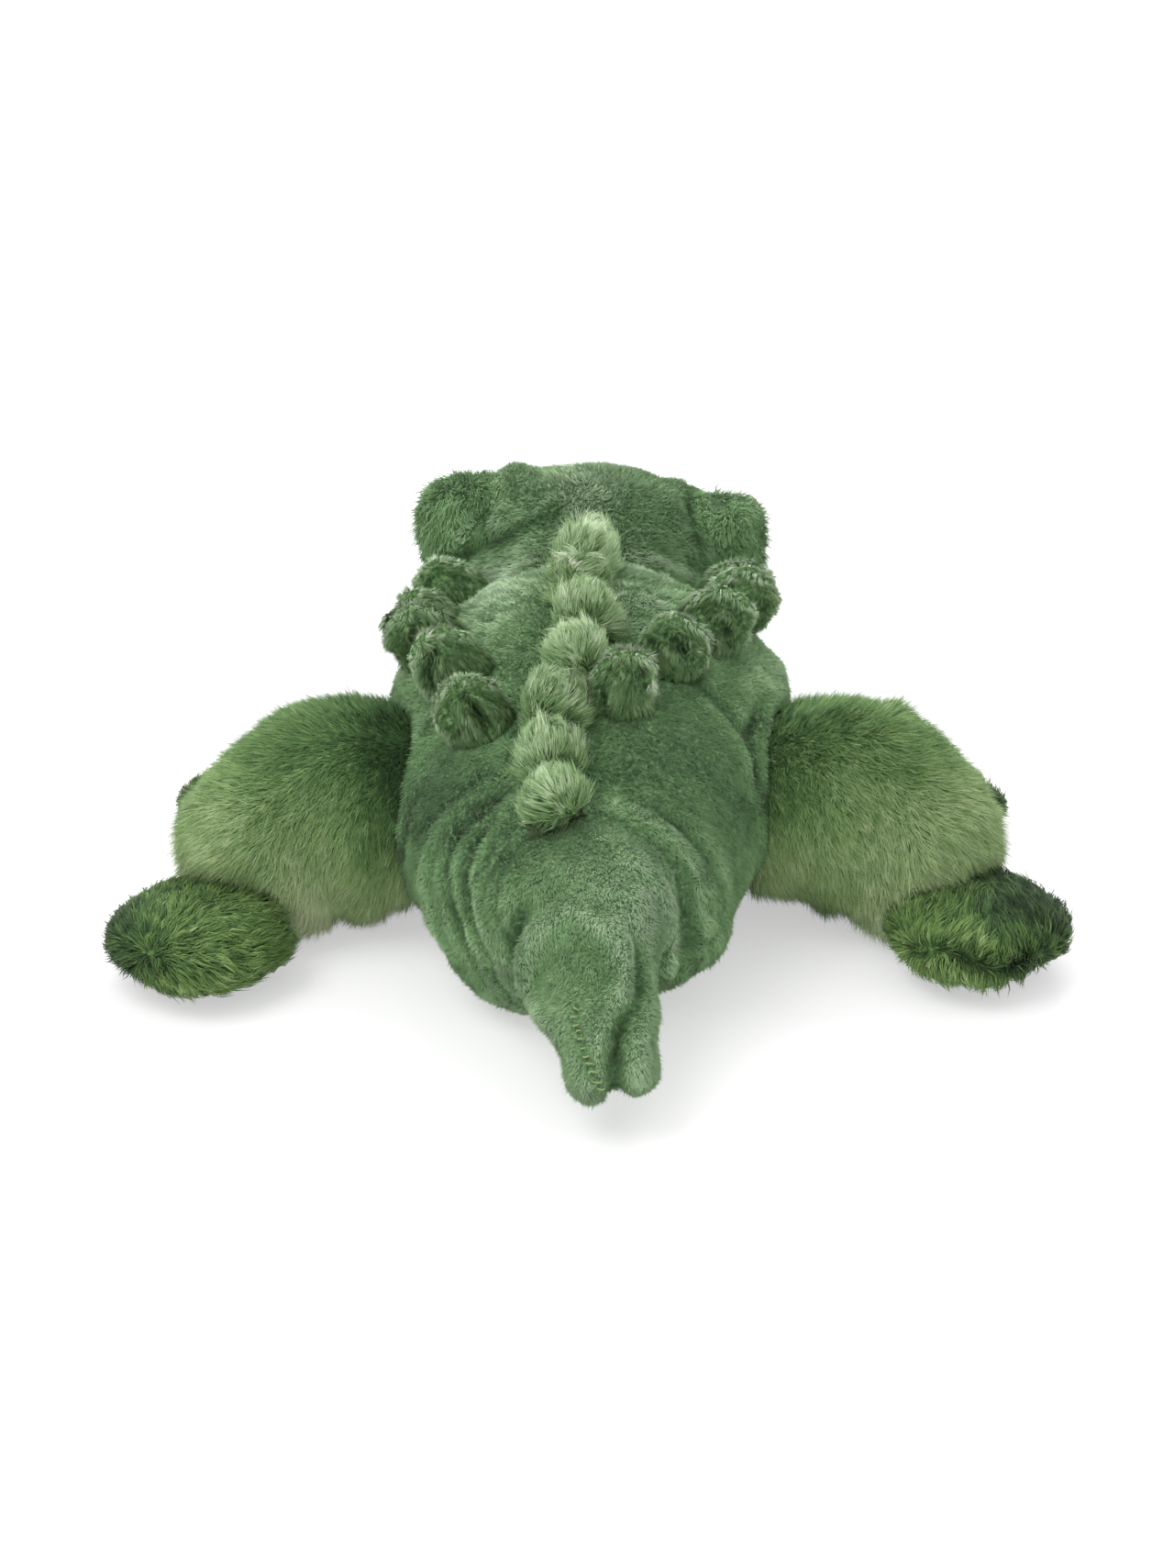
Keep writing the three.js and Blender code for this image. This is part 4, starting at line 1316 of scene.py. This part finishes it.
def turned(profile, foot, axis):
    """A profile turned about an axis: points, triangles and the map, along the profile and round it."""
    share = travelled(profile)
    share /= share[-1]
    aside = unit(np.cross(axis, [0.0, 0.0, 1.0]))
    spokes = circle(EYE_STEPS, aside, np.cross(axis, aside))
    points = np.vstack([foot + axis * place + spokes * width for place, width in profile])
    faces, maps = [], []
    last = len(profile) - 1
    for ring in range(last):
        for step in range(EYE_STEPS):
            low, low_next, high_next, high = (
                (ring, step), (ring, step + 1), (ring + 1, step + 1), (ring + 1, step),
            )
            for triangle in ((low, low_next, high_next), (low, high_next, high)):
                rows = [row for row, _ in triangle]
                if rows.count(0) < 2 and rows.count(last) < 2:
                    faces.append([row * EYE_STEPS + spot % EYE_STEPS for row, spot in triangle])
                    maps.append([(share[row], spot / EYE_STEPS) for row, spot in triangle])
    faces = np.array(faces)
    faces[faces < EYE_STEPS] = 0
    faces[faces >= last * EYE_STEPS] = last * EYE_STEPS
    used, faces = np.unique(faces, return_inverse=True)
    return points[used], faces.reshape(-1, 3), np.array(maps)


def make_eye(side, material):
    """A safety eye turned about its stem: ribbed stem, flat back, rounded rim and a high dome."""
    verts, _ = triangles_of(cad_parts[f"{side}_eye"].data)
    away = norms(verts - verts.mean(0))
    foot = verts[away.argmax()]
    axis = unit(verts[norms(verts - foot).argmax()] - foot)
    for _ in range(4):
        along = (verts - verts.mean(0)) @ axis
        ends = [verts[np.isclose(along, edge, atol=0.05)].mean(0) for edge in (along.min(), along.max())]
        axis = unit(ends[1] - ends[0])
    along = (verts - ends[0]) @ axis
    off = norms(verts - ends[0] - along[:, None] * axis)
    points, faces, maps = turned(eye_profile(along, off), ends[0], axis)
    a, b, c = (points[faces[:, k]] for k in range(3))
    if (np.cross(b - a, c - a) * (a + b + c - 3 * points.mean(0))).sum() < 0:
        faces, maps = faces[:, ::-1], maps[:, ::-1]
    name = f"{side}_glass_eye"
    obj = new_object(name, filled_mesh(name, points, faces, maps), "head", material)
    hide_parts(f"{side}_eye")


def washer_material():
    """White moulded nylon with faint flow marks."""
    return textured("washer_nylon", {"Roughness": 0.45, "Specular IOR Level": 0.5}, "TexNoise",
                    {"Scale": 260.0, "Distortion": 1.5}, coded((0.3, 0.7), ("#d2d2cb", "#efefe9")),
                    bump=(0.2, 0.05))


make_stitches()
nostril_thread = thread_material("nostril_thread", "#22392a")
eye_gloss = eye_material()
nylon = washer_material()
for side, _ in SIDES:
    make_eye(side, eye_gloss)
    make_nostril(side, nostril_thread)
    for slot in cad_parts[f"{side}_eye_washer"].material_slots:
        slot.material = nylon


# Floor, backdrop and light

FLOOR_METRES, FLOOR_GLOW, STUDIO_LIGHT = 3.0, 0.5, 1.05


def camera_ray(tree):
    return add_node(tree, "LightPath", {}).outputs["Is Camera Ray"]


def mix_shaders(tree, output, share, one, two):
    both = add_node(tree, "MixShader", {"Fac": share, 1: one, 2: two})
    feed(tree, tree.nodes[output], {"Surface": both.outputs["Shader"]})


def make_floor():
    """A pale floor that keeps the shadow, brighter to the camera than to the light."""
    bm = bmesh.new()
    bmesh.ops.create_grid(bm, x_segments=1, y_segments=1, size=FLOOR_METRES)
    mesh = bpy.data.meshes.new("floor")
    bm.to_mesh(mesh)
    bm.free()
    floor = new_in_scene("floor", mesh)
    material, tree, shader = new_material("floor", {
        "Base Color": grey(0.95), "Roughness": 0.9, "Specular IOR Level": 0.1,
    })
    glow = add_node(tree, "Emission", {"Color": grey(1.0)})
    share = add_node(tree, "Math", {0: camera_ray(tree), 1: FLOOR_GLOW}, operation="MULTIPLY")
    mix_shaders(tree, "Material Output", share.outputs["Value"], shader.outputs["BSDF"],
                glow.outputs["Emission"])
    mesh.materials.append(material)


def make_studio():
    """Even white light, in front of a white that only the camera sees."""
    world = bpy.data.worlds.new("studio")
    world.use_nodes = True
    bpy.context.scene.world = world
    tree = world.node_tree
    light = feed(tree, tree.nodes["Background"], {"Color": grey(1.0), "Strength": STUDIO_LIGHT})
    white = add_node(tree, "Background", {"Color": grey(1.0), "Strength": 1.0})
    mix_shaders(tree, "World Output", camera_ray(tree), light.outputs["Background"],
                white.outputs["Background"])


def add_lamp(name, place, size, power):
    data = bpy.data.lights.new(name, "AREA")
    data.size = size
    data.energy = power
    lamp = new_in_scene(name, data)
    lamp.location = place
    lamp.rotation_euler = (-Vector(place)).to_track_quat("-Z", "Y").to_euler()


make_floor()
make_studio()
add_lamp("key", place=(-0.7, -0.35, 1.3), size=0.9, power=10.0)
add_lamp("rim", place=(0.2, 1.1, 0.9), size=0.8, power=13.0)
bpy.context.scene.view_settings.view_transform = "Standard"
